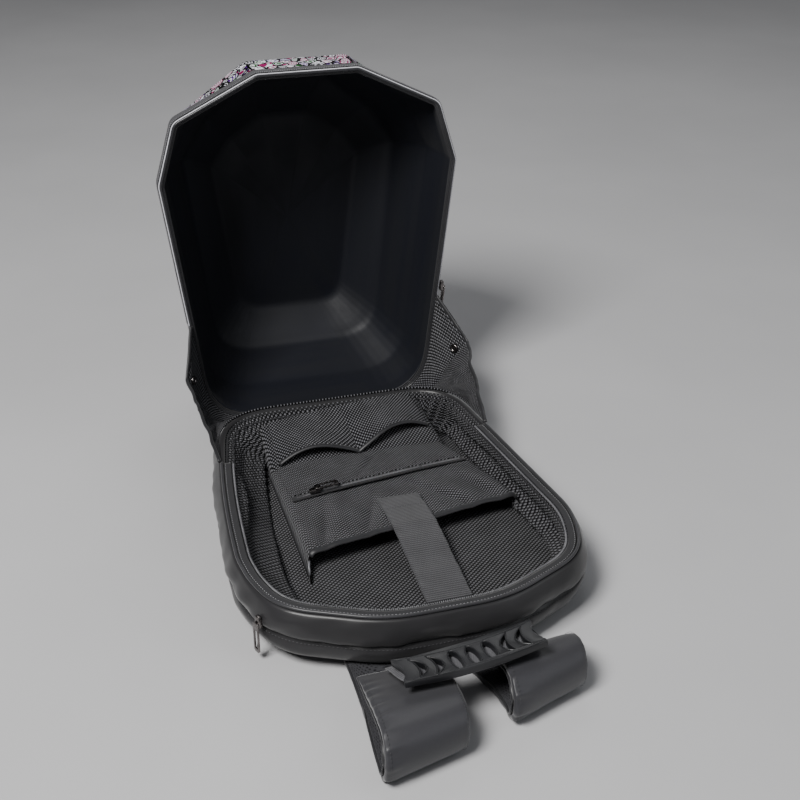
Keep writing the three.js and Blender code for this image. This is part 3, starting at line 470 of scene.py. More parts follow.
def platedLook(name, dark, light, roughness):
    material, tree, shader, where = startMaterial(name, roughness, light, "Object", metallic=1.0)
    scuffs = noiseAt(tree, mappedTo(tree, where, (1, 6, 1), 20), 260, 5, 0.7)
    finishLook(tree, shader, scuffs, [(0.35, dark), (0.65, light)],
               (scuffs, 0.3, 0.75, roughness - 0.08, roughness + 0.14), scuffs, 0.12, 0.08)
    return material


# matte printed film: small cells with rings, dots or hatching in them, between dark outlines
def printedLook(name, paper, ink, pink, leaf, violet):
    material, tree, shader, where = startMaterial(name, 0.6, paper, "Object", specular=0.06)
    cells, edges, small = [tree.nodes.new("ShaderNodeTexVoronoi") for k in range(3)]
    edges.feature = "DISTANCE_TO_EDGE"
    for node, scale in ((cells, 88), (edges, 88), (small, 330)):
        node.inputs["Scale"].default_value = scale
        tree.links.new(where, node.inputs["Vector"])
    pick = tree.nodes.new("ShaderNodeSeparateColor")
    tree.links.new(cells.outputs["Color"], pick.inputs[0])
    rings = mathNode(tree, "SINE", times(tree, cells.outputs["Distance"], 30))
    hatch = mathNode(tree, "SINE", times(tree, noiseAt(tree, where, 14, 1), 230))

    def blendIn(base, colour, amount):
        node = tree.nodes.new("ShaderNodeMix")
        node.data_type = "RGBA"
        tree.links.new(amount, node.inputs[0])
        for socket, value in ((node.inputs[6], base), (node.inputs[7], colour)):
            if isinstance(value, tuple):
                socket.default_value = (*value, 1)
            else:
                tree.links.new(value, socket)
        return node.outputs[2]

    def under(value, limit):
        return mathNode(tree, "LESS_THAN", value, limit)

    def over(value, limit):
        return mathNode(tree, "GREATER_THAN", value, limit)

    kind, tint, centre = pick.outputs
    accent = colourRamp(tree, tint, [(0, pink), (0.4, ink), (0.56, leaf), (0.72, violet), (0.84, ink)], True)
    colour = paper
    for shade, chosen, drawn in (
            (accent, under(kind, 0.5), over(rings, -0.25)),
            (accent, over(kind, 0.7), over(hatch, 0)),
            (accent, times(tree, over(kind, 0.5), under(kind, 0.7)), under(small.outputs["Distance"], 0.42)),
            (ink, under(cells.outputs["Distance"], 0.12), under(centre, 0.5))):
        colour = blendIn(colour, shade, times(tree, chosen, drawn))
    colour = blendIn(colour, ink, under(edges.outputs["Distance"], 0.07))
    tree.links.new(colour, shader.inputs["Base Color"])
    tree.links.new(spread(tree, noiseAt(tree, where, 120, 4), 0.3, 0.7, 0.25, 0.42),
                   shader.inputs["Roughness"])
    addBump(tree, shader, noiseAt(tree, where, 500, 2), 0.05, 0.05)
    return material


looks = {
    "print": printedLook("printed_shell", (0.68, 0.68, 0.74), (0.001, 0.001, 0.0015), (0.24, 0.0, 0.085),
                         (0.0, 0.09, 0.002), (0.08, 0.012, 0.2)),
    "smoothLining": coatedLook("smooth_lining_cloth", (0.0015, 0.002, 0.004), (0.005, 0.006, 0.011),
                               0.6, 0.03),
    "floorWeave": clothLook("coarse_diamond_weave", (0.0005, 0.0005, 0.0007), (0.095, 0.095, 0.105),
                            3.6, 1.5, squeeze=1.15),
    "organiserWeave": clothLook("fine_diamond_weave", (0.0005, 0.0005, 0.0007), (0.14, 0.14, 0.154),
                                3.3, 1.4, 52, 1.3),
    "gussetWeave": clothLook("gusset_weave", (0.0006, 0.0006, 0.0008), (0.12, 0.12, 0.134), 3.4, 1.2),
    "bodyCloth": coatedLook("coated_body_cloth", (0.007, 0.0068, 0.0074), (0.025, 0.0245, 0.0265),
                            0.38, 0.12),
    "strapCloth": coatedLook("coated_strap_cloth", (0.014, 0.014, 0.0165), (0.04, 0.04, 0.0455), 0.46, 0.18),
    "mesh": knitLook("knitted_mesh", (0.003, 0.003, 0.004), (0.03, 0.03, 0.034), 2.2),
    "webbing": ribbedLook("ribbed_webbing", (0.008, 0.008, 0.009), (0.11, 0.11, 0.12), 1.8, depth=0.6),
    "band": ribbedLook("elastic_band", (0.002, 0.002, 0.0025), (0.07, 0.07, 0.077), 2.4, "Y", 1.0, 1.0),
    "tape": ribbedLook("zip_tape_weave", (0.004, 0.004, 0.0045), (0.028, 0.028, 0.031), 1.2, "Y"),
    "shellTape": ribbedLook("shell_tape_weave", (0.008, 0.008, 0.009), (0.075, 0.075, 0.082), 1.8, "Y", 0.9),
    "binding": coatedLook("edge_binding", (0.006, 0.006, 0.007), (0.026, 0.026, 0.029), 0.45, 0.12),
    # painted highlight: this light grey colours a thin cord that stands in for the highlight along the dark
    # shell piping
    "paintedHighlightCord": coatedLook("painted_highlight_cord", (0.42, 0.42, 0.455), (0.7, 0.7, 0.75), 0.3, 0.1),
    "trayPiping": coatedLook("tray_piping_cloth", (0.01, 0.01, 0.011), (0.045, 0.045, 0.05), 0.33, 0.12),
    "darkPiping": coatedLook("dark_piping", (0.008, 0.008, 0.009), (0.03, 0.03, 0.034), 0.3, 0.1),
    "teeth": mouldedLook("zip_coil", (0.03, 0.03, 0.034), (0.2, 0.2, 0.212), 0.3, 1500),
    "thread": mouldedLook("sewing_thread", (0.02, 0.02, 0.022), (0.06, 0.06, 0.066), 0.6, 4000),
    "lightThread": mouldedLook("light_thread", (0.2, 0.2, 0.21), (0.42, 0.42, 0.44), 0.5, 4000),
    "gunmetal": platedLook("gunmetal_plating", (0.1, 0.092, 0.09), (0.26, 0.24, 0.235), 0.22),
    "rubber": mouldedLook("grip_moulding", (0.004, 0.0042, 0.005), (0.014, 0.0145, 0.017), 0.4, 1400, 0.2),
    "buckle": mouldedLook("buckle_moulding", (0.006, 0.006, 0.007), (0.02, 0.02, 0.022), 0.4),
    "backPanel": coatedLook("back_panel_cloth", (0.02, 0.02, 0.022), (0.05, 0.05, 0.055), 0.6, 0.2, "Object"),
    "pad": mouldedLook("spacer_pad", (0.01, 0.01, 0.011), (0.035, 0.035, 0.038), 0.9, 900, 0.8),
}
print("materials made:", len(looks))


# hard shell

shell = {"edgeRound": 2.2, "liningInset": 3.6, "liningThickness": 1.1, "liningRipple": 0.5,
         "sideShare": 0.72, "backMiddle": 0.47}
ringKeys = ("depth", "bottom", "widest", "shoulder", "top", "lift", "wide", "high", "height")
shellRings = [dict(zip(ringKeys, row)) for row in (
    (0, 1, 1, 1, 1, 0, 1, 1, 1),
    (0.12, 1, 1, 1, 1, 0, 1, 1, 1),
    (0.4, 0.96, 0.95, 0.86, 1.03, 0.015, 1, 0.99, 1),
    (0.78, 0.8, 0.8, 0.68, 0.8, 0.07, 0.97, 0.93, 0.93),
    (1, 0.52, 0.56, 0.46, 0.5, 0.17, 0.9, 0.83, 0.8),
)]
roundedCopy("printed_hard_shell", "hard_shell", shell["edgeRound"], 3, "print", angle=9)


def shellRingLine(ring, inset):
    corners = outlineCorners(
        bag["bottomHalfWidth"] * ring["bottom"], bag["height"] * ring["lift"],
        bag["widestHalfWidth"] * ring["widest"], bag["widestHeight"] * ring["wide"],
        bag["shoulderHalfWidth"] * ring["shoulder"], bag["shoulderHeight"] * ring["high"],
        bag["topHalfWidth"] * ring["top"], bag["height"] * ring["height"])
    return roundCorners(insetCorners(corners, inset), bag["bottomRadius"] * ring["bottom"],
                        bag["shellRadius"], 8)


liningInset = shell["liningInset"] + shell["liningThickness"]
liningLines = [shellRingLine(ring, liningInset) for ring in shellRings]


def shellLiningSpot(u, v):
    # every ring has the same number of points, so a share round one ring matches the others
    across = (u % 1.0) * len(liningLines[0])
    i, part = int(across), across - int(across)
    sideShare = shell["sideShare"]
    depth = min(v / sideShare, 1.0)
    ring = max(k for k in range(len(shellRings) - 1) if shellRings[k]["depth"] <= depth + 1e-9)
    share = (depth - shellRings[ring]["depth"]) / (shellRings[ring + 1]["depth"] - shellRings[ring]["depth"])
    spots = [line[i].lerp(line[(i + 1) % len(line)], part) for line in liningLines[ring:ring + 2]]
    spot = spots[0].lerp(spots[1], share)
    if v > sideShare:  # the back closes towards its middle
        spot = spot.lerp(Vector((0, bag["height"] * shell["backMiddle"])), (v - sideShare) / (1 - sideShare))
    ripple = shell["liningRipple"] * (1 + ridges(spot.x / 38, spot.y / 52, depth * 3))
    ripple *= smoothStep(v, 0.01, 0.1)
    spot = spot + (Vector((0, 200)) - spot).normalized() * ripple * (1 if v < sideShare else 0)
    back = (bag["shellDepth"] - liningInset) * depth - (ripple if v >= 0.6 else 0)
    return inShell(spot.x, spot.y, 0.3 + back)


shellLining = clothPiece("shell_inner_lining", 288, 60, shellLiningSpot, (1100, 420),
                         shell["liningThickness"], "smoothLining", ("shell_lining",),
                         True)
shellRound = measuredLine(shellLoop, True)
shellZip = measuredLine(stretchAbove(shellLoop, 128))

shellBelow = measuredLine(stretchBelow(shellLoop, 129))

# the shell's rim: cords and facing all round, zip tape on the upper part, binding on the lower
rimFacing = [(-2.6, -0.3), (-5.7, 0.6), (-6.0, 0.1), (-5.7, -0.6), (-4.6, -1.2), (-3.0, -1.2)]
bandProfile = [(0.35, 3.6), (0.9, 3.3), (1.55, 3.9), (1.7, 5.5), (1.35, 6.6), (1.35, 10), (1.6, 11.2),
               (1.5, 15.2), (1.1, 16.0), (0.35, 16)]
innerTape = [(0.35, 0.2), (0.75, 0.05), (0.8, 3.2), (0.35, 3.3)]
flangeProfile = [(-3.4, -0.2), (-3.4, -0.5), (0.3, -0.55), (1.3, -0.3), (1.5, 0.8), (1.4, 13), (0.9, 14),
                 (0.35, 13.6), (0.35, -0.2)]
for name, line, count, profile, look, slot, nodes in (
        ("shell_dark_piping", shellRound, 520, ringProfile(1.5, -1.5, -1.8, 12), "darkPiping", "piping",
         ("shell_piping",)),
        # a thin cord coloured light grey as a painted highlight along the dark piping
        ("shell_painted_highlight_cord", shellRound, 520, ringProfile(0.62, 0.4, -1.25, 8), "paintedHighlightCord", "piping", ()),
        ("shell_rim_facing", shellRound, 520, rimFacing, "tape", "zip_tape", ()),
        ("shell_inner_cord", shellRound, 520, ringProfile(0.42, -3.4, -1.45, 8), "trayPiping", "piping", ()),
        ("shell_tape_band", shellZip, 420, bandProfile, "shellTape", "zip_tape", ("shell_rim_band",)),
        ("shell_tape_edge", shellZip, 320, innerTape, "tape", "zip_tape", ()),
        ("shell_lower_binding", shellBelow, 260, flangeProfile, "binding", "zip_tape", ())):
    trimPiece(name, line, count, profile, inShell, look, nodes)


def zipCoil(name, line, out, level, place, size, up, nodes):
    places, pitch = [], 1.9
    for k in range(int(line["length"] / pitch)):
        share = (k + 0.5) * pitch / line["length"]
        point, outward = lineAt(line, share), outwardAt(line, share)
        moved = point + outward * out
        spot = place(moved.x, moved.y, level)
        beside = place(moved.x + outward.x, moved.y + outward.y, level) - spot
        along = place(moved.x - outward.y, moved.y + outward.x, level) - spot
        normal = beside if up == "outward" else beside.cross(along)
        places.append((spot, along.cross(normal), normal))
    return beadRow(name, places, size, "teeth", nodes)


zipCoil("shell_zip_coil", shellZip, 1.9, 1.9, inShell, (3.0, 1.35, 1.7), "outward", ("shell_zip_teeth",))
print("shell done")


# cloth between the halves

cloth = {"thickness": 1.6, "tipDrop": 30, "leftFlare": 15, "rightFlare": 27, "hem": 0.22, "sag": 20,
         "startY": -3.6, "floorFrom": 11 / 32, "floorTo": 21 / 32, "wrinkle": 3.6}
shellEdge = measuredLine(stretchBelow(shellLoop, 128))
trayEdge = measuredLine(stretchBelow(trayLoop, 100))


def clothSpot(t, share):
    fromShell, fromTray = lineAt(shellEdge, t), lineAt(trayEdge, t)
    point = inShell(fromShell.x, fromShell.y, cloth["startY"]).lerp(
        inTray(fromTray.x, fromTray.y, bag["rimHeight"] + 0.3), share)
    side = 1 - 2 * t
    flare = cloth["leftFlare"] if side > 0 else cloth["rightFlare"]
    hem = share / cloth["hem"] if share < cloth["hem"] else (1 - share) / (1 - cloth["hem"])
    weight = abs(side) ** 2
    point.x -= math.copysign(flare * hem * weight, side)
    point.z -= cloth["tipDrop"] * hem * weight
    point.z -= cloth["sag"] * arch(share) * (1 - abs(side) ** 1.5)
    point.z = max(point.z, 0.0)
    return point


def clothNormal(t, share):
    a = clothSpot(min(1, t + 0.01), share) - clothSpot(max(0, t - 0.01), share)
    b = clothSpot(t, min(1, share + 0.02)) - clothSpot(t, max(0, share - 0.02))
    normal = a.cross(b).normalized()
    return normal if normal.dot(Vector((0, 250, 170)) - clothSpot(t, share)) > 0 else -normal


def clothWrinkled(t, share):
    side = abs(1 - 2 * t)
    calm = arch(share) * smoothStep(side, 0.25, 0.7) * 1.25
    drape = ridges(t * 9 + share * 2.2, share * 7.5 - t * 3, 4.0) + 0.5 * ridges(t * 26, share * 15, 9.0)
    fold = hump(share - cloth["hem"] - 0.02, 0.035) * 1.6 * smoothStep(side, 0.5, 0.8)
    lift = 1.1 + fold + cloth["wrinkle"] * (drape + 0.35) * calm
    return clothSpot(t, share) + clothNormal(t, share) * lift


def clothPart(name, start, end, columns, nodes):
    return clothPiece(name, columns, 72, lambda u, v: clothWrinkled(mix(start, end, u), v),
                      ((end - start) * 560, 145), cloth["thickness"], "gussetWeave",
                      nodes)


leftGusset = clothPart("left_gusset_cloth", 0, cloth["floorFrom"] - 0.001, 80, ("gusset_left",))
hingeFloor = clothPart("hinge_floor_cloth", cloth["floorFrom"] + 0.001, cloth["floorTo"] - 0.001, 70,
                       ("base_gusset",))
rightGusset = clothPart("right_gusset_cloth", cloth["floorTo"] + 0.001, 1, 80, ("gusset_right",))


# binding tape sewn over an edge that follows points lying on a surface
def tapeAlong(name, points, normals, width, thickness):
    line = measuredLine(points)
    count = max(24, int(line["length"] / 2))

    def spot(u, v):
        share = round(u * count) / count
        along = (lineAt(line, min(1, share + 0.01)) - lineAt(line, max(0, share - 0.01))).normalized()
        normal = normals(share)
        across = along.cross(normal).normalized()
        angle = 2 * math.pi * v
        around = across * math.cos(angle) * width / 2 + normal * math.sin(angle) * thickness / 2
        return lineAt(line, share) + around

    return tubePiece(name, count, 10, spot, (line["length"], 2 * width), "binding")


# bound free edge of each gusset, and the stitches beside it and along its hem
for sideName, edge, inner, sewn in (("left", 0.0, 0.012, 0.016), ("right", 1.0, 0.988, 0.984)):
    rows = [k / 40 for k in range(41)]
    tapeAlong(f"{sideName}_gusset_binding", [clothWrinkled(edge, v) for v in rows],
              lambda share, t=edge: clothNormal(t, share), 5.0, 3.4)
    stitches = stitchesAlong([clothWrinkled(sewn, v) for v in rows], 3.4, 1.1,
                             lambda share, t=inner: clothNormal(t, share))
    hemEnd, hemRow = mix(edge, 0.5, 0.42), cloth["hem"] + 0.045
    hemPoints = [clothWrinkled(mix(edge, hemEnd, k / 30), hemRow) for k in range(31)]
    stitches += stitchesAlong(hemPoints, 3.4, 1.1,
                              lambda share, t=edge: clothNormal(mix(t, 0.5, 0.42 * share), 0.26))
    beadRow(f"{sideName}_gusset_stitches", stitches, (2.5, 0.55, 0.5), "thread")

snap = {"searchSteps": 60, "edgeShare": 0.2, "standOff": 0.5}


# a snap button turned from its profile, seated where the cloth comes nearest to its CAD place
def snapPiece(name, node):
    low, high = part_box(node)
    middle = (low + high) / 2
    bm = bmesh.new()
    profile = [(0.001, 1.25), (1.3, 1.3), (2.2, 1.0), (2.7, 1.6), (3.6, 2.4), (4.8, 2.0), (5.2, 0.9),
               (5.2, -1.2), (0.001, -1.2)]
    verts = [bm.verts.new((x * mm, 0, z * mm)) for x, z in profile]
    edges = [bm.edges.new(pair) for pair in zip(verts, verts[1:])]
    bmesh.ops.spin(bm, geom=verts + edges, cent=(0, 0, 0), axis=(0, 0, 1), angle=2 * math.pi, steps=28,
                   use_merge=True)
    bmesh.ops.remove_doubles(bm, verts=bm.verts, dist=1e-5)
    bmesh.ops.recalc_face_normals(bm, faces=bm.faces)
    steps = snap["searchSteps"]
    shares = [k / steps * snap["edgeShare"] for k in range(2, steps)]
    places = [(t if middle.x < 0 else 1 - t, j / steps) for t in shares for j in range(steps)]
    t, share = min(places, key=lambda place: (clothSpot(*place) - middle / mm).length)
    normal = clothNormal(t, share)
    turn = normal.to_track_quat("Z", "Y").to_matrix().to_4x4()
    seat = clothWrinkled(t, share) + normal * (cloth["thickness"] / 2 + snap["standOff"])
    bmesh.ops.transform(bm, matrix=Matrix.Translation(seat * mm) @ turn, verts=bm.verts)
    return finishPiece(name, bm, "gunmetal", nodes=(node,))


snapPiece("left_snap_button", "snap_left")
snapPiece("right_snap_button", "snap_right")
print("cloth between the halves done")


# tray wall, back panel and lumbar pad

wall = {"height": 48.5, "bulge": 6, "thickness": 3, "wrinkle": 3.0, "columns": 560}
wallOuter = [
    (0.00, -1.3), (0.015, -0.7), (0.05, -0.15), (0.1, 0.3), (0.17, 0.62), (0.25, 0.82), (0.33, 0.86),
    (0.4, 0.72), (0.445, 0.45), (0.47, 0.3), (0.485, 0.52), (0.51, 0.86), (0.56, 1.05), (0.63, 1.12),
    (0.71, 1.06), (0.79, 0.86), (0.87, 0.56), (0.93, 0.28), (0.965, 0.12), (0.985, -0.02), (1.0, -0.25),
]
wallInner = [(1.0, -0.62), (0.75, 0.0), (0.5, 0.0), (0.3, -0.4), (0.0, -1.65)]
trayRound = measuredLine(trayLoop, True)


def wallSpot(u, v):
    steps = len(wallOuter) + len(wallInner)
    index = int(round(v * steps)) % steps
    share = u % 1.0
    point, outward = lineAt(trayRound, share), outwardAt(trayRound, share, 6)
    if index < len(wallOuter):
        height, out = wallOuter[index]
        out *= wall["bulge"]
        x = trayRound["length"] * share
        leftSide = smoothStep(-outward.x, 0.1, 0.8)
        fine = ridges(x / 21 + 2.5 * height, height * 4.5, 2.0)
        along = ridges(x / 60, height * 2.2, 1.0) * 0.9 + fine * (0.45 + 0.4 * leftSide)
        pinch = hump(height - 0.47, 0.09)
        pucker = 0.35 * math.sin(x / 4.1 + 2 * ridges(x / 30, 0, 7)) * pinch
        crown = arch(min(1, height * 1.02))
        out += wall["wrinkle"] * (along * crown - abs(along) * 0.9 * pinch) + pucker
        height += 0.018 * ridges(x / 75, 3, 5.0) * arch(height)
    else:
        height, out = wallInner[index - len(wallOuter)]
        out = out * wall["bulge"] - (wall["thickness"] - 0.6)
    moved = point + outward * out
    return inTray(moved.x, moved.y, bag["panelBottom"] + max(0, height) * wall["height"])


wallPiece = tubePiece("tray_padded_wall", wall["columns"], len(wallOuter) + len(wallInner), wallSpot,
                      (trayRound["length"], 110), "bodyCloth", ("tray_wall",), False)

# seam piping under the wall, and rows of thread in its crease
trimPiece("wall_bottom_piping", trayRound, 480, ringProfile(1.3, -5.4, bag["panelBottom"] + 1.4, 8), inTray,
          "binding")
creasePoints = [lineAt(trayRound, k / 300) + outwardAt(trayRound, k / 300, 6) * 4.6 for k in range(301)]


def creaseNormal(share):
    outward = outwardAt(trayRound, share, 6)
    return Vector((outward.x, -outward.y, 0))


crease = stitchesAlong([inTray(p.x, p.y, bag["panelBottom"] + 0.415 * wall["height"]) for p in creasePoints],
                       3.6, 0.0, creaseNormal)
beadRow("wall_crease_stitches", crease, (2.6, 0.55, 0.5), "thread")

backPiece = roundedCopy("padded_back_panel", "back_panel", 1.8, 3, "backPanel")
lumbarPiece = roundedCopy("lumbar_cushion", "lumbar_pad", 3.0, 4, "pad")


# trims round the tray's rim

trayZip = measuredLine(stretchAbove(trayLoop, 104))
rimTop = bag["rimHeight"]
trimPiece("tray_rim_piping", trayZip, 520, ringProfile(1.5, -2.7, rimTop + 1.8, 12), inTray,
          "trayPiping", ("tray_piping",))
tapeSection = [(out, rimTop + rise) for out, rise in (
    (-4.5, 0.3), (-4.5, 1.1), (-6.5, 1.4), (-9, 1.1), (-11.5, 1.35), (-12.5, 1.2), (-12.5, 0.3), (-8.5, 0.3))]
trimPiece("tray_rim_tape", trayZip, 420, tapeSection, inTray, "tape", ("tray_zip_tape",))
zipCoil("tray_zip_coil", trayZip, -14.2, rimTop + 0.7, inTray, (3.0, 1.35, 1.9), "up", ("tray_zip_teeth",))
seamPoints = [lineAt(trayZip, k / 300) + outwardAt(trayZip, k / 300) * -6.2 for k in range(301)]
tapeStitches = stitchesAlong([inTray(p.x, p.y, rimTop + 1.25) for p in seamPoints], 3.2)
beadRow("tray_tape_stitches", tapeStitches, (2.2, 0.5, 0.45), "lightThread")
print("tray wall and rim done")


# tray lining with its gathered sides

lining = {"slope": 4, "left": 34, "near": 16, "far": 64, "top": 57.6, "rimInset": 4.8, "ruffle": 5.0,
          "roll": 7.0, "thickness": 1.2, "pitch": 15, "columns": 620, "flatDepth": 300, "sideDepth": 62}
liningSlope = ((0, 0), (0.14, 0.1), (0.28, 0.3), (0.44, 0.45), (0.62, 0.68), (0.8, 0.86), (1, 1))


def liningSpot(u, v):
    share = u % 1.0
    point, outward = lineAt(trayRound, share), outwardAt(trayRound, share, 10)
    bottom = bag["panelTop"] + 0.3 + lining["thickness"] / 2
    bulge = lining["left"] * max(0, -outward.x) ** 2 + lining["near"] * max(0, outward.y) ** 2 \
        + lining["far"] * max(0, -outward.y) ** 2
    span = lining["slope"] + bulge
    fall = min(1.0, v / 0.5)
    height = 1 - fall
    slope = tableAt(liningSlope, fall)
    x = trayRound["length"] * share
    sides = abs(outward.x) ** 1.5
    hinge = max(0, -outward.y) * abs(outward.x) * 2
    calm = arch(min(1, fall * 1.02)) ** 0.7
    pleat = math.sin(2 * math.pi * (1.45 * fall + 0.3 * ridges(x / 140, 1, 3) + 0.1))
    pleat = pleat ** 2 if pleat > 0 else 0.4 * pleat
    phase = x / lining["pitch"] * 2 * math.pi + 2.5 * ridges(x / 60, 1, 3)
    gather = lining["ruffle"] * (0.3 + 1.5 * sides) * pleat * calm * (1 - 0.7 * hinge)
    roll = smoothStep(outward.x, 0.3, 0.9) * (1 - hinge)
    gather += lining["roll"] * roll * (hump(fall - 0.3 - 0.06 * ridges(x / 90, 5, 8), 0.13)
                                       - 0.55 * hump(fall - 0.58, 0.07)
                                       + 0.8 * hump(fall - 0.8, 0.09))
    gather += lining["ruffle"] * 0.75 * hinge * math.sin(phase) * calm
    loose = 1.6 * ridges(x / 48, fall * 2.2, 6) * arch(fall)
    inset = lining["rimInset"] + lining["ruffle"] * 0.6 * min(1, fall * 8) + slope * span + gather + loose
    inset += lining["thickness"] / 2
    level = bottom + height * (lining["top"] - bottom)
    level += 1.2 * sides * ridges(x / 60, fall * 2.5, 14) * arch(fall)
    moved = point - outward * inset
    if v > 0.5:  # the floor closes towards the middle
        moved = moved.lerp(Vector((0, 190)), (v - 0.5) / 0.5)
        level = bottom + 0.6 * (1 + ridges(moved.x / 40, moved.y / 40, 8)) * smoothStep(v, 0.5, 0.6)
    return inTray(moved.x, moved.y, level)


def flatLiningUV(piece):
    # the weave lies flat on the floor, and on the sides it runs along the rim and down the slope
    uvLayer = piece.data.uv_layers["flat"]
    for face in piece.data.polygons:
        rows = [uvLayer.data[k].uv.y for k in face.loop_indices]
        onSide = sum(rows) / len(rows) < lining["flatDepth"] / 2 * mm
        for k in face.loop_indices:
            spot, flat = piece.data.vertices[piece.data.loops[k].vertex_index].co, uvLayer.data[k].uv
            down = flat.y * lining["sideDepth"] / lining["flatDepth"] * 2
            uvLayer.data[k].uv = (flat.x, down) if onSide else (spot.x, spot.y)


liningPiece = clothPiece("tray_gathered_lining", lining["columns"], 84, liningSpot,
                         (trayRound["length"], lining["flatDepth"]), lining["thickness"],
                         "floorWeave", ("tray_lining",), True)
flatLiningUV(liningPiece)

# two corded seams that run round the lining's upper edge
for number, fall in enumerate((0.035, 0.12)):
    seam = [liningSpot(k / 480, fall * 0.5) + Vector((0, 0, 0.9)) for k in range(481)]
    tapeAlong(f"lining_corded_seam_{number + 1}", seam, lambda share: Vector((0, 0, 1)), 1.8, 1.6)
print("lining done")


# organiser: laptop sleeve, zip pocket, slip pockets and the band

organiser = {
    "shift": 23, "farShift": -3, "halfWidth": 117, "farHalfWidth": 89, "mouthY": -30, "length": 209,
    "end": 207, "height": 18, "endHeight": 3, "foot": 24, "skew": 43, "farSkew": 14, "base": 18.8,
    "farFloorY": 128.2, "slopeLength": 68, "slopeLead": 9, "slopeRise": 39.7, "cloth": 2.5,
    "zipFrom": 86, "zipTo": 94, "pocketShare": 0.92, "pocketFrom": 94.3, "pocketPuff": 2, "pocketCloth": 1.6,
    "slipShare": 0.9, "slipLength": 48, "slipPuff": 13, "slipDip": 10,
    # each fold of the sleeve: where it starts at the mouth, its lean, its reach and its depth
    "sleeveFolds": ((-0.82, 0.5, 0.32, 2.6), (-0.45, 0.9, 0.3, 2.0), (0.52, -0.8, 0.3, 2.2),
                    (0.8, -0.35, 0.34, 2.6)),
}


def sleeveHeightAt(across):
    side = abs(across)
    crown = 1 + 0.03 * arch(min(1, side / 0.95)) - 0.02
    return (1 - max(0.0, (side - 0.9) / 0.1) ** 3.2) * crown


def sleeveSpot(across, share, lift=0.0):
    o = organiser
    height = sleeveHeightAt(across)
    x = mix(o["shift"], o["farShift"], share) + across * mix(o["halfWidth"], o["farHalfWidth"], share)
    skew = mix(o["skew"], o["farSkew"], share) * across * 0.5
    y = o["mouthY"] + skew + share * o["length"] - o["foot"] * (1 - height) ** 2 * (1 - share)
    climb = max(0.0, min(1.0, (y - o["farFloorY"] + o["slopeLead"]) / o["slopeLength"]))
    climb = climb if climb > 0.08 else climb * climb / 0.08 * 0.5 + climb * 0.5
    rise = mix(o["height"], o["endHeight"], share ** 1.5)
    return Vector((x, y, o["base"] + o["slopeRise"] * climb + height * rise + lift))


def sleeveCloth(u, v):
    across = 2 * u - 1
    slack = 2.6 * ridges(across * 2.6 + v * 1.2, v * 2.6, 11) + 0.9 * ridges(across * 7 + v * 3, v * 5, 12)
    for start, lean, reach, depth in organiser["sleeveFolds"]:
        aside, fade = across - start - lean * v, hump(v, reach)
        slack -= 1.2 * depth * hump(aside, 0.05) * fade
        slack += 0.7 * depth * hump(aside - 0.11, 0.07) * fade
    slack *= mix(0.3, 1, smoothStep(v, 0.0, 0.14))
    mouthCurl = 1.2 * math.exp(-v / 0.03) * (1 - abs(across) ** 6)
    calm = 1 - abs(across) ** 8
    return sleeveSpot(across, v, 1.3 + (slack * mix(1.3, 0.35, smoothStep(v, 0.3, 0.45)) + mouthCurl) * calm)


sleevePiece = clothPiece("laptop_sleeve_cloth", 120, 110, sleeveCloth, (250, 209), 2.0,
                         "organiserWeave", ("laptop_sleeve",))
mouthLine = [sleeveCloth(0.02 + 0.96 * k / 90, 0.0) for k in range(91)]
tapeAlong("sleeve_mouth_binding", mouthLine, lambda share: Vector((0, -0.3, 1)).normalized(), 6.5, 3.2)
beadRow("sleeve_mouth_stitches",
        stitchesAlong([sleeveCloth(0.03 + 0.94 * k / 90, 0.035) for k in range(91)], 3.2, 1.25),
        (2.3, 0.5, 0.45), "thread")


def overSleeve(u, distance, halfShare, lift):
    share = max(0.0, min(1.0, distance / organiser["length"]))
    return sleeveSpot((2 * u - 1) * halfShare, share, organiser["cloth"] + 0.6 + lift)


def pocketCloth(u, v):
    distance = mix(organiser["pocketFrom"], organiser["end"], v)
    pull = 0.7 * math.exp(-v / 0.06) * math.sin(u * 75 + 3 * ridges(u * 6, 0, 2)) + 1.5 * math.exp(-v / 0.04)
    slack = 1.9 * ridges(u * 5 + v, v * 3, 21) * arch(min(1, v * 1.5))
    for start, width, depth in ((0.36, 0.03, -1.3), (0.3, 0.05, 1.2)):
        fade = arch(min(1, v * 2.2))
        slack += depth * hump(u - start - 0.55 * v, width) * fade
    puff = organiser["pocketPuff"] * arch(u)
    return overSleeve(u, distance, organiser["pocketShare"], puff + 1 + slack + 0.5 * pull)


pocketPiece = clothPiece("zip_pocket_cloth", 130, 80, pocketCloth, (215, 113), organiser["pocketCloth"],
                         "organiserWeave", ("zip_pocket",))


def pocketTape(u, v):
    distance = mix(organiser["zipFrom"], organiser["zipTo"], v)
    puff = organiser["pocketPuff"] * arch(u)
    return overSleeve(u, distance, organiser["pocketShare"], puff + 0.9 + 0.25 * arch(v))


clothPiece("pocket_zip_tape_cloth", 110, 10, pocketTape, (215, 8), 1.1, "tape",
           ("pocket_zip_tape",))
coilPlaces = []
for k in range(118):
    u = 0.03 + 0.94 * k / 117
    spot = pocketTape(u, 0.5) + Vector((0, 0, 0.9))
    along = pocketTape(min(1, u + 0.01), 0.5) - pocketTape(u - 0.01, 0.5)
    coilPlaces.append((spot, Vector((0, 0, 1)).cross(along), Vector((0, 0, 1))))
beadRow("pocket_zip_coil", coilPlaces, (3.4, 1.3, 1.5), "teeth")
stitches = stitchesAlong([pocketTape(0.02 + 0.96 * k / 90, -0.12) for k in range(91)], 3.0, 0.4)
stitches += stitchesAlong([pocketCloth(0.02 + 0.96 * k / 90, 0.06) for k in range(91)], 3.0, 1.0)
beadRow("pocket_zip_stitches", stitches, (2.2, 0.5, 0.45), "thread")


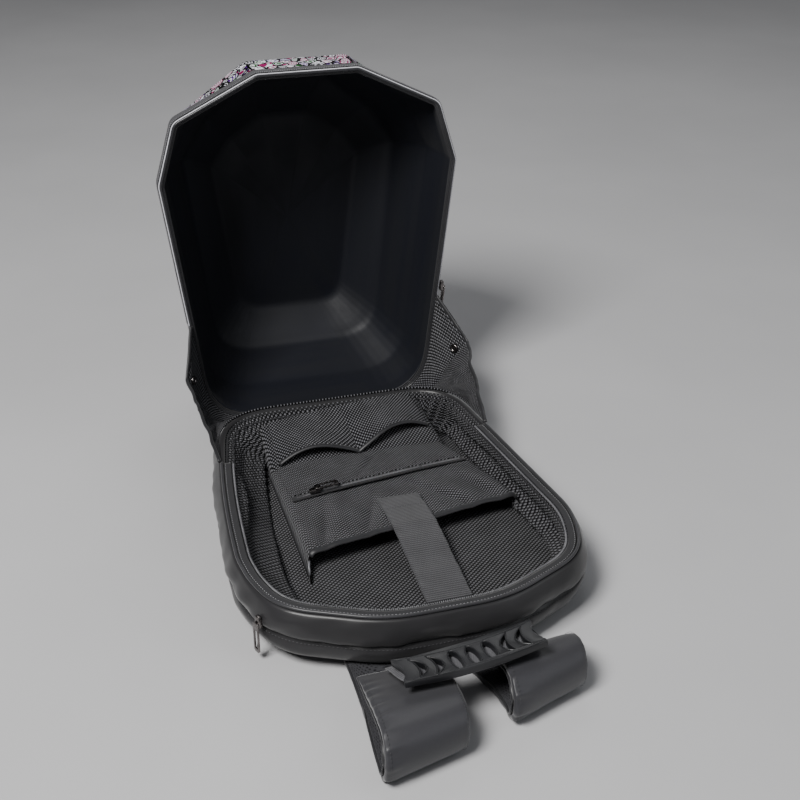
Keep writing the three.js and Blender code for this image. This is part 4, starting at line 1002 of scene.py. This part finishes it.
def slipCloth(u, v):
    wave = 0.5 + 0.5 * u
    dip = organiser["slipDip"] * abs(math.cos(math.pi * (u + 0.5))) ** 4
    start = organiser["end"] - organiser["slipLength"] - dip
    distance = mix(start, organiser["end"] - 1, v)
    puff = organiser["slipPuff"] * abs(math.sin(2 * math.pi * u)) ** 0.75 * (1 - v) ** 1.15
    slack = 0.8 * ridges(u * 8, v * 3, 31) * (1 - v)
    lift = puff + organiser["pocketPuff"] * arch(u) + 2.9 + 1 + slack * wave
    return overSleeve(u, distance, organiser["slipShare"], lift)


slipPiece = clothPiece("slip_pockets_cloth", 150, 40, slipCloth, (210, 48), 1.5, "organiserWeave",
                       ("upper_pocket",))
tapeAlong("slip_pockets_binding", [slipCloth(0.005 + 0.99 * k / 120, 0.0) for k in range(121)],
          lambda share: Vector((0, -0.35, 1)).normalized(), 4.6, 2.6)
stitches = stitchesAlong([slipCloth(0.01 + 0.98 * k / 120, 0.11) for k in range(121)], 3.0, 0.95)
stitches += stitchesAlong([slipCloth(0.5, 0.1 + 0.9 * k / 30) for k in range(31)], 3.0, 0.95)
beadRow("slip_pockets_stitches", stitches, (2.2, 0.5, 0.45), "thread")

band = {"width": 44, "length": 150, "startY": -135, "lean": 6, "top": 21.94}
bandRows = ((0, 0), (0.28, 0.4), (0.56, 0.85), (0.68, 1), (1, 1))


def bandSpot(u, v):
    height = tableAt(bandRows, v)
    edge = 0.4 * math.sin(v * 60) * (abs(u - 0.5) * 2) ** 6
    x = organiser["shift"] - band["lean"] * v + (u - 0.5) * band["width"] + 0.5 * ridges(v * 7, u, 41)
    level = organiser["base"] + height * band["top"] + 1.0 + edge + 0.5 * ridges(u * 2, v * 6, 42)
    return Vector((x, band["startY"] + v * band["length"], level))


bandPiece = clothPiece("organiser_band", 24, 90, bandSpot, (band["width"], band["length"]), 1.7,
                       "band", ("sleeve_band",))
stitches = []
for u in (0.08, 0.92):
    stitches += stitchesAlong([bandSpot(u, 0.86 + 0.12 * k / 10) for k in range(11)], 2.6, 0.95)
for v in (0.02, 0.06, 0.86, 0.98):
    stitches += stitchesAlong([bandSpot(0.08 + 0.84 * k / 20, v) for k in range(21)], 2.6, 0.95)
beadRow("band_stitches", stitches, (2.0, 0.5, 0.45), "thread")
print("organiser done")


# shoulder straps

strap = {"width": 75, "cover": 8, "mesh": 2.5, "loopHeight": 45, "seam": 1.6, "meshSeam": 1, "under": 150}
webbing = {"width": 25, "cornerX": 105, "buckle": 30, "level": 1.05, "climb": 8.8, "thickness": 1.7}
strapSides = [
    {"side": "left", "x": -48, "bendX": -58, "underX": -51, "reach": 117, "skew": 20, "seed": 3},
    {"side": "right", "x": 69, "bendX": 63, "underX": 41, "reach": 77, "skew": 28, "seed": 8},
]


def strapStations(side):
    radius = strap["loopHeight"] / 2
    bendY = bag["nearWallY"] - side["reach"] + radius
    a, b, c, d = [Vector(point) for point in (
        (bag["nearWallY"], bag["panelBottom"] + 3.3),
        (bag["nearWallY"] - side["reach"] * 0.2, bag["panelBottom"] + strap["loopHeight"] * 0.3),
        (bendY + side["reach"] * 0.32, strap["loopHeight"]), (bendY, strap["loopHeight"]))]
    stations = []
    for k in range(60):
        t = k / 60
        spot = a * (1 - t) ** 3 + b * 3 * t * (1 - t) ** 2 + c * 3 * t * t * (1 - t) + d * t ** 3
        stations.append((spot.x, spot.y, 0.5 * t, 0.0))
    for k in range(50):
        t = k / 50
        stations.append((bendY - radius * arch(t), radius + radius * math.cos(math.pi * t),
                         0.5 + 0.5 * t, 0.0))
    for k in range(51):
        t = k / 50
        stations.append((mix(bendY, bag["nearWallY"] + strap["under"], t), 0.0, 1 - t, t))
    return stations


def strapFace(side, station, across):
    y, z, wrap, under = station
    bent = arch(wrap * 0.5) * (1 - under if under > 0 else 1)
    middle = mix(mix(side["x"], side["bendX"], bent), side["underX"], smoothStep(under, 0, 0.5))
    return Vector((middle + across * strap["width"], y + across * side["skew"] * bent, z))


def strapFrame(side, stations, k, across):
    before, after = stations[max(k - 1, 0)], stations[min(k + 1, len(stations) - 1)]
    along = strapFace(side, after, across) - strapFace(side, before, across)
    sideways = (strapFace(side, stations[k], 0.5) - strapFace(side, stations[k], -0.5)).normalized()
    return strapFace(side, stations[k], across), sideways.cross(along).normalized()


def coverDepth(pad):
    return mix(strap["seam"], strap["cover"], pad)


def roundBox(angle, power):
    c, s = math.cos(angle), math.sin(angle)
    return (math.copysign(abs(c) ** (2 / power), c), math.copysign(abs(s) ** (2 / power), s))


def strapBody(name, side, fromDepth, toDepth, narrower, power, pucker, look, nodes):
    stations = strapStations(side)
    last = len(stations) - 1
    total = measuredLine([strapFace(side, s, 0) for s in stations])

    def spot(u, v):
        k = int(round(u * last))
        a, b = roundBox(2 * math.pi * v, power)
        pad = smoothStep(k / last, 0, 0.2)
        low, high = fromDepth(pad), toDepth(pad)
        edge = abs(a) ** 5
        length = total["lengths"][k]
        crease = math.sin(length / 2.4 + 2.5 * ridges(length / 14, a, side["seed"]))
        crease *= 0.5 + 1.1 * abs(ridges(length / 25, 2, side["seed"]))
        half = 0.5 * (1 - narrower / strap["width"]) - edge * pucker * 0.0012 * (1 + crease)
        here, inward = strapFrame(side, stations, k, a * half)
        depth = mix(low, high, 0.5 - 0.5 * b)
        if b > 0:  # the outer face swells a little between its bound edges, and creases run in from them
            soft = ridges(length / 45, a * 1.5, side["seed"] + 5) * 0.5
            soft += crease * pucker * 0.5 * smoothStep(-a, 0.5, 0.95)
            depth += (soft + 0.35 * edge) * b * pad
        place = here + inward * depth
        place.z = max(place.z, 0.0)
        return place

    piece = tubePiece(name, last, 44, spot, (total["length"], 2 * strap["width"]), look, nodes)
    return stations, total


for side in strapSides:
    name = side["side"]
    stations, total = strapBody(f"{name}_strap_cover", side, lambda pad: 0.0, coverDepth, 0.5, 5.5, 2.6,
                                "strapCloth", (f"strap_{name}",))
    strapBody(f"{name}_strap_mesh_layer", side, lambda pad: coverDepth(pad) + 0.35,
              lambda pad: mix(strap["seam"] + strap["meshSeam"], strap["cover"] + strap["mesh"], pad) + 0.3,
              3.0, 4.0, 0.5, "mesh", (f"strap_{name}_mesh",))
    for edgeName, a in (("outer", -0.488), ("inner", 0.488)):
        points, normals = [], []
        for k in range(0, len(stations), 2):
            here, inward = strapFrame(side, stations, k, a)
            pad = smoothStep(k / (len(stations) - 1), 0, 0.2)
            points.append(here + inward * (coverDepth(pad) + 0.2))
            normals.append(inward)
        tapeAlong(f"{name}_strap_{edgeName}_edge", points,
                  lambda share, n=normals: n[min(len(n) - 1, int(share * len(n)))], 3.0, 2.6)

    # stitches beside each edge
    stitches = []
    for a in (-0.455, 0.455):
        for k in range(8, len(stations) - 1):
            if total["lengths"][k] % 3.4 < (total["lengths"][k] - total["lengths"][k - 1]):
                here, inward = strapFrame(side, stations, k, a)
                after = strapFace(side, stations[k + 1], a)
                stitches.append((here - inward * 0.1, after - here, -inward))
    beadRow(f"{name}_strap_stitches", stitches, (2.4, 0.5, 0.5), "thread")

    # ladder buckle and the webbing that runs on to the tray's bottom corner
    roundedCopy(f"{name}_ladder_buckle", f"buckle_{name}", 1.6, 3, "buckle")
    startY = bag["nearWallY"] + strap["under"] + 0.3 + webbing["buckle"] + webbing["width"] / 4
    start = Vector((side["underX"], startY, 0))
    corner = Vector((math.copysign(webbing["cornerX"], side["underX"]),
                     bag["trayFarY"] - bag["bottomRadius"] * 0.6, 0))
    along = (corner - start).normalized()
    sideways = Vector((along.y, -along.x, 0))

    def webbingSpot(u, v, start=start, corner=corner, sideways=sideways):
        spot = start.lerp(corner, v) + sideways * (u - 0.5) * webbing["width"]
        spot.z = webbing["level"] + webbing["climb"] * smoothStep(v, 0.75, 1)
        return spot

    webbingPiece = clothPiece(f"{name}_strap_webbing", 8, 80, webbingSpot,
                              (webbing["width"], (corner - start).length), webbing["thickness"],
                              "webbing", (f"webbing_{name}",))
print("straps done")


# carrying handle

handle = {"length": 126, "width": 36, "thickness": 5, "reach": 44, "turn": 3, "tilt": 6, "roll": 4, "bow": 5,
          "sag": 2, "webbing": 2, "drop": 20}
lift = handle["length"] / 2 * math.sin(math.radians(handle["roll"]))
handlePlace = Matrix.Translation((0, bag["nearWallY"] - handle["reach"],
                                  strap["loopHeight"] + handle["webbing"] + 0.6 + lift))
for angle, axis in ((-handle["tilt"], "X"), (-handle["roll"], "Y"), (handle["turn"], "Z")):
    handlePlace = handlePlace @ Matrix.Rotation(math.radians(angle), 4, axis)
roundedCopy("moulded_grip", "handle_grip", 1.0, 3, "rubber", angle=35)


# how far a place along the grip bows: 1 in its middle, 0 at its ends
def bowAt(x):
    return 1 - min(1, abs(2 * x) / handle["length"]) ** 2


def onHandle(x, y, z):
    middle = bowAt(x)
    return handlePlace @ Vector((x, y - handle["bow"] * middle, z - handle["sag"] * middle))


gripNormal = (handlePlace.to_3x3() @ Vector((0, 0, 1))).normalized()


def raisedRim(name, flatPoints, radius, closed=True):
    points = [onHandle(x, y, handle["thickness"] - 0.1) for x, y in flatPoints]
    line = measuredLine(points, closed)
    count = max(20, int(line["length"] / 1.2))

    def spot(u, v):
        share = round(u * count) / count
        ahead, behind = share + 0.6 / count, share - 0.6 / count
        if not closed:
            ahead, behind = min(1, ahead), max(0, behind)
        along = (lineAt(line, ahead) - lineAt(line, behind)).normalized()
        across = along.cross(gripNormal).normalized()
        angle = 2 * math.pi * v
        fade = 1 if closed else smoothStep(min(share, 1 - share), -0.02, 0.06)
        around = across * math.cos(angle) + gripNormal * math.sin(angle) * 0.9
        return lineAt(line, share) + around * radius * fade

    tubePiece(name, count, 8, spot, (line["length"], 6), "rubber", (), not closed)


def quadCurve(a, b, c, steps=14):
    return [tuple(p * (1 - t) ** 2 + q * 2 * t * (1 - t) + r * t * t for p, q, r in zip(a, b, c))
            for t in (k / steps for k in range(steps))]


half, sideWidth = handle["length"] / 2, handle["width"] / 2
holeHeight = sideWidth * 0.74
for k, (place, bulge) in enumerate(((-0.7, 5.5), (-0.47, 5.5), (0.5, -5.5), (0.73, -5.5))):
    x, b, h = place * half, bulge, holeHeight + 0.8
    b2 = b * 1.08
    outline = quadCurve((x - b2, -h), (x + 2.6 * b2 + 0.6 * (b / 4), 0), (x - b2, h)) \
        + quadCurve((x - b2, h), (x + 0.6 * b2 - 1.0 * (b / 4), 0), (x - b2, -h))
    raisedRim(f"grip_crescent_rim_{k + 1}", outline, 0.8)
for k, place in enumerate((-0.22, 0.02, 0.26)):
    outline = [(place * half + 5.0 * math.cos(2 * math.pi * i / 28),
                (holeHeight + 0.8) * math.sin(2 * math.pi * i / 28))
               for i in range(28)]
    raisedRim(f"grip_oval_rim_{k + 1}", outline, 0.8)
for k, way in enumerate((-1, 1)):
    edge = [(x, way * (sideWidth * (0.9 + 0.1 * (x / half) ** 2) - 1.3))
            for x in (half * 0.985 * i / 30 for i in range(-30, 31))]
    raisedRim(f"grip_long_rim_{k + 1}", edge, 1.0, closed=False)

# rows across the webbing: place and reach of its inner edge, of its outer edge, and its drop
handleRows = [(0.6, 0.9, 1, 0.9, 0.85), (0.6, 0.6, 1.02, 0.5, 0.36), (0.6, 0.35, 0.98, -0.1, 0),
              (0.56, 0.32, 0.8, -0.3, 0), (0.25, 0.32, 0.3, -0.32, 0)]


def handleEdges(row, side):
    inner, innerReach, outer, outerReach, drop = row
    edges = []
    for place, reach in ((inner, innerReach), (outer, outerReach)):
        x = side * place * handle["length"] / 2
        y = reach * handle["reach"] + (0 if drop > 0 else -handle["bow"] * bowAt(x))
        z = -handle["sag"] * bowAt(x) - 0.3 - handle["webbing"] - drop * handle["drop"]
        edges.append(handlePlace @ Vector((x, y, z)))
    return edges


webbingRows = [handleEdges(row, -1) for row in handleRows]
webbingRows += [handleEdges(row, 1) for row in reversed(handleRows)]
webbingEdges = [[row[i] for row in webbingRows] for i in (0, 1)]


def smoothRun(points, share):
    place = share * (len(points) - 1)
    i = min(len(points) - 2, int(place))
    t = place - i
    a, b, c, d = (points[max(0, min(len(points) - 1, i + k))] for k in (-1, 0, 1, 2))
    bend, twist = 2 * a - 5 * b + 4 * c - d, 3 * b - a - 3 * c + d
    return 0.5 * (2 * b + (c - a) * t + bend * t * t + twist * t ** 3)


def handleWebbingSpot(u, v):
    spot = smoothRun(webbingEdges[0], v).lerp(smoothRun(webbingEdges[1], v), u)
    return spot + gripNormal * 0.9


handleCloth = clothPiece("handle_webbing_strip", 16, 110, handleWebbingSpot, (30, 230), 1.5,
                         "webbing", ("handle_webbing",))
print("handle done")


# zip sliders and pulls

for prefix in ("outer_zip", "main_zip", "pocket_zip"):
    for part, made, width in (("slider", "slider_body", 0.7), ("pull", "slotted_pull", 0.45)):
        roundedCopy(f"{prefix}_{made}", f"{prefix}_{part}", width, 3, "gunmetal", 30)
print("zips done")


# floor, lights and camera

bm = bmesh.new()
bmesh.ops.create_grid(bm, x_segments=2, y_segments=2, size=4)
floorMesh = bpy.data.meshes.new("studio_floor")
bm.to_mesh(floorMesh)
bm.free()
studioFloor = bpy.data.objects.new("studio_floor", floorMesh)
bpy.context.scene.collection.objects.link(studioFloor)
floorLook, tree, shader, where = startMaterial("studio_floor_paint", 0.75, (0.42, 0.42, 0.43), "Object")
tree.links.new(colourRamp(tree, noiseAt(tree, where, 3),
                          [(0.3, (0.41, 0.41, 0.42)), (0.7, (0.44, 0.44, 0.45))]),
               shader.inputs["Base Color"])
floorMesh.materials.append(floorLook)

world = bpy.data.worlds.new("studio")
bpy.context.scene.world = world
world.use_nodes = True
background = world.node_tree.nodes["Background"]
background.inputs["Color"].default_value = (0.72, 0.73, 0.76, 1)
background.inputs["Strength"].default_value = 0.14

for name, place, aim, size, power, tint in (
        ("key", (-1.3, -1.0, 2.2), (0, 0, 0.1), 0.9, 120, (1, 0.99, 0.97)),
        ("fill", (1.7, -1.2, 1.5), (0, 0, 0.1), 1.6, 11, (0.94, 0.97, 1)),
        ("rim", (0.5, 1.7, 1.9), (0, 0.2, 0.2), 1.2, 10, (1, 1, 1))):
    lamp = bpy.data.lights.new(name, "AREA")
    lamp.size, lamp.energy, lamp.color = size, power, tint
    lampObject = bpy.data.objects.new(name, lamp)
    lampObject.location = place
    lampObject.rotation_euler = (Vector(aim) - Vector(place)).to_track_quat("-Z", "Y").to_euler()
    bpy.context.scene.collection.objects.link(lampObject)

view = {"place": (-0.2974, -1.0424, 0.748), "down": 28.4, "turn": 16.69, "lens": 58.3}
cameraData = bpy.data.cameras.new("photo_camera")
cameraData.lens, cameraData.sensor_width = view["lens"], 36
camera = bpy.data.objects.new("photo_camera", cameraData)
camera.location = view["place"]
camera.rotation_euler = (math.radians(90 - view["down"]), 0, -math.radians(view["turn"]))
bpy.context.scene.collection.objects.link(camera)
bpy.context.scene.camera = camera

print("pieces done")
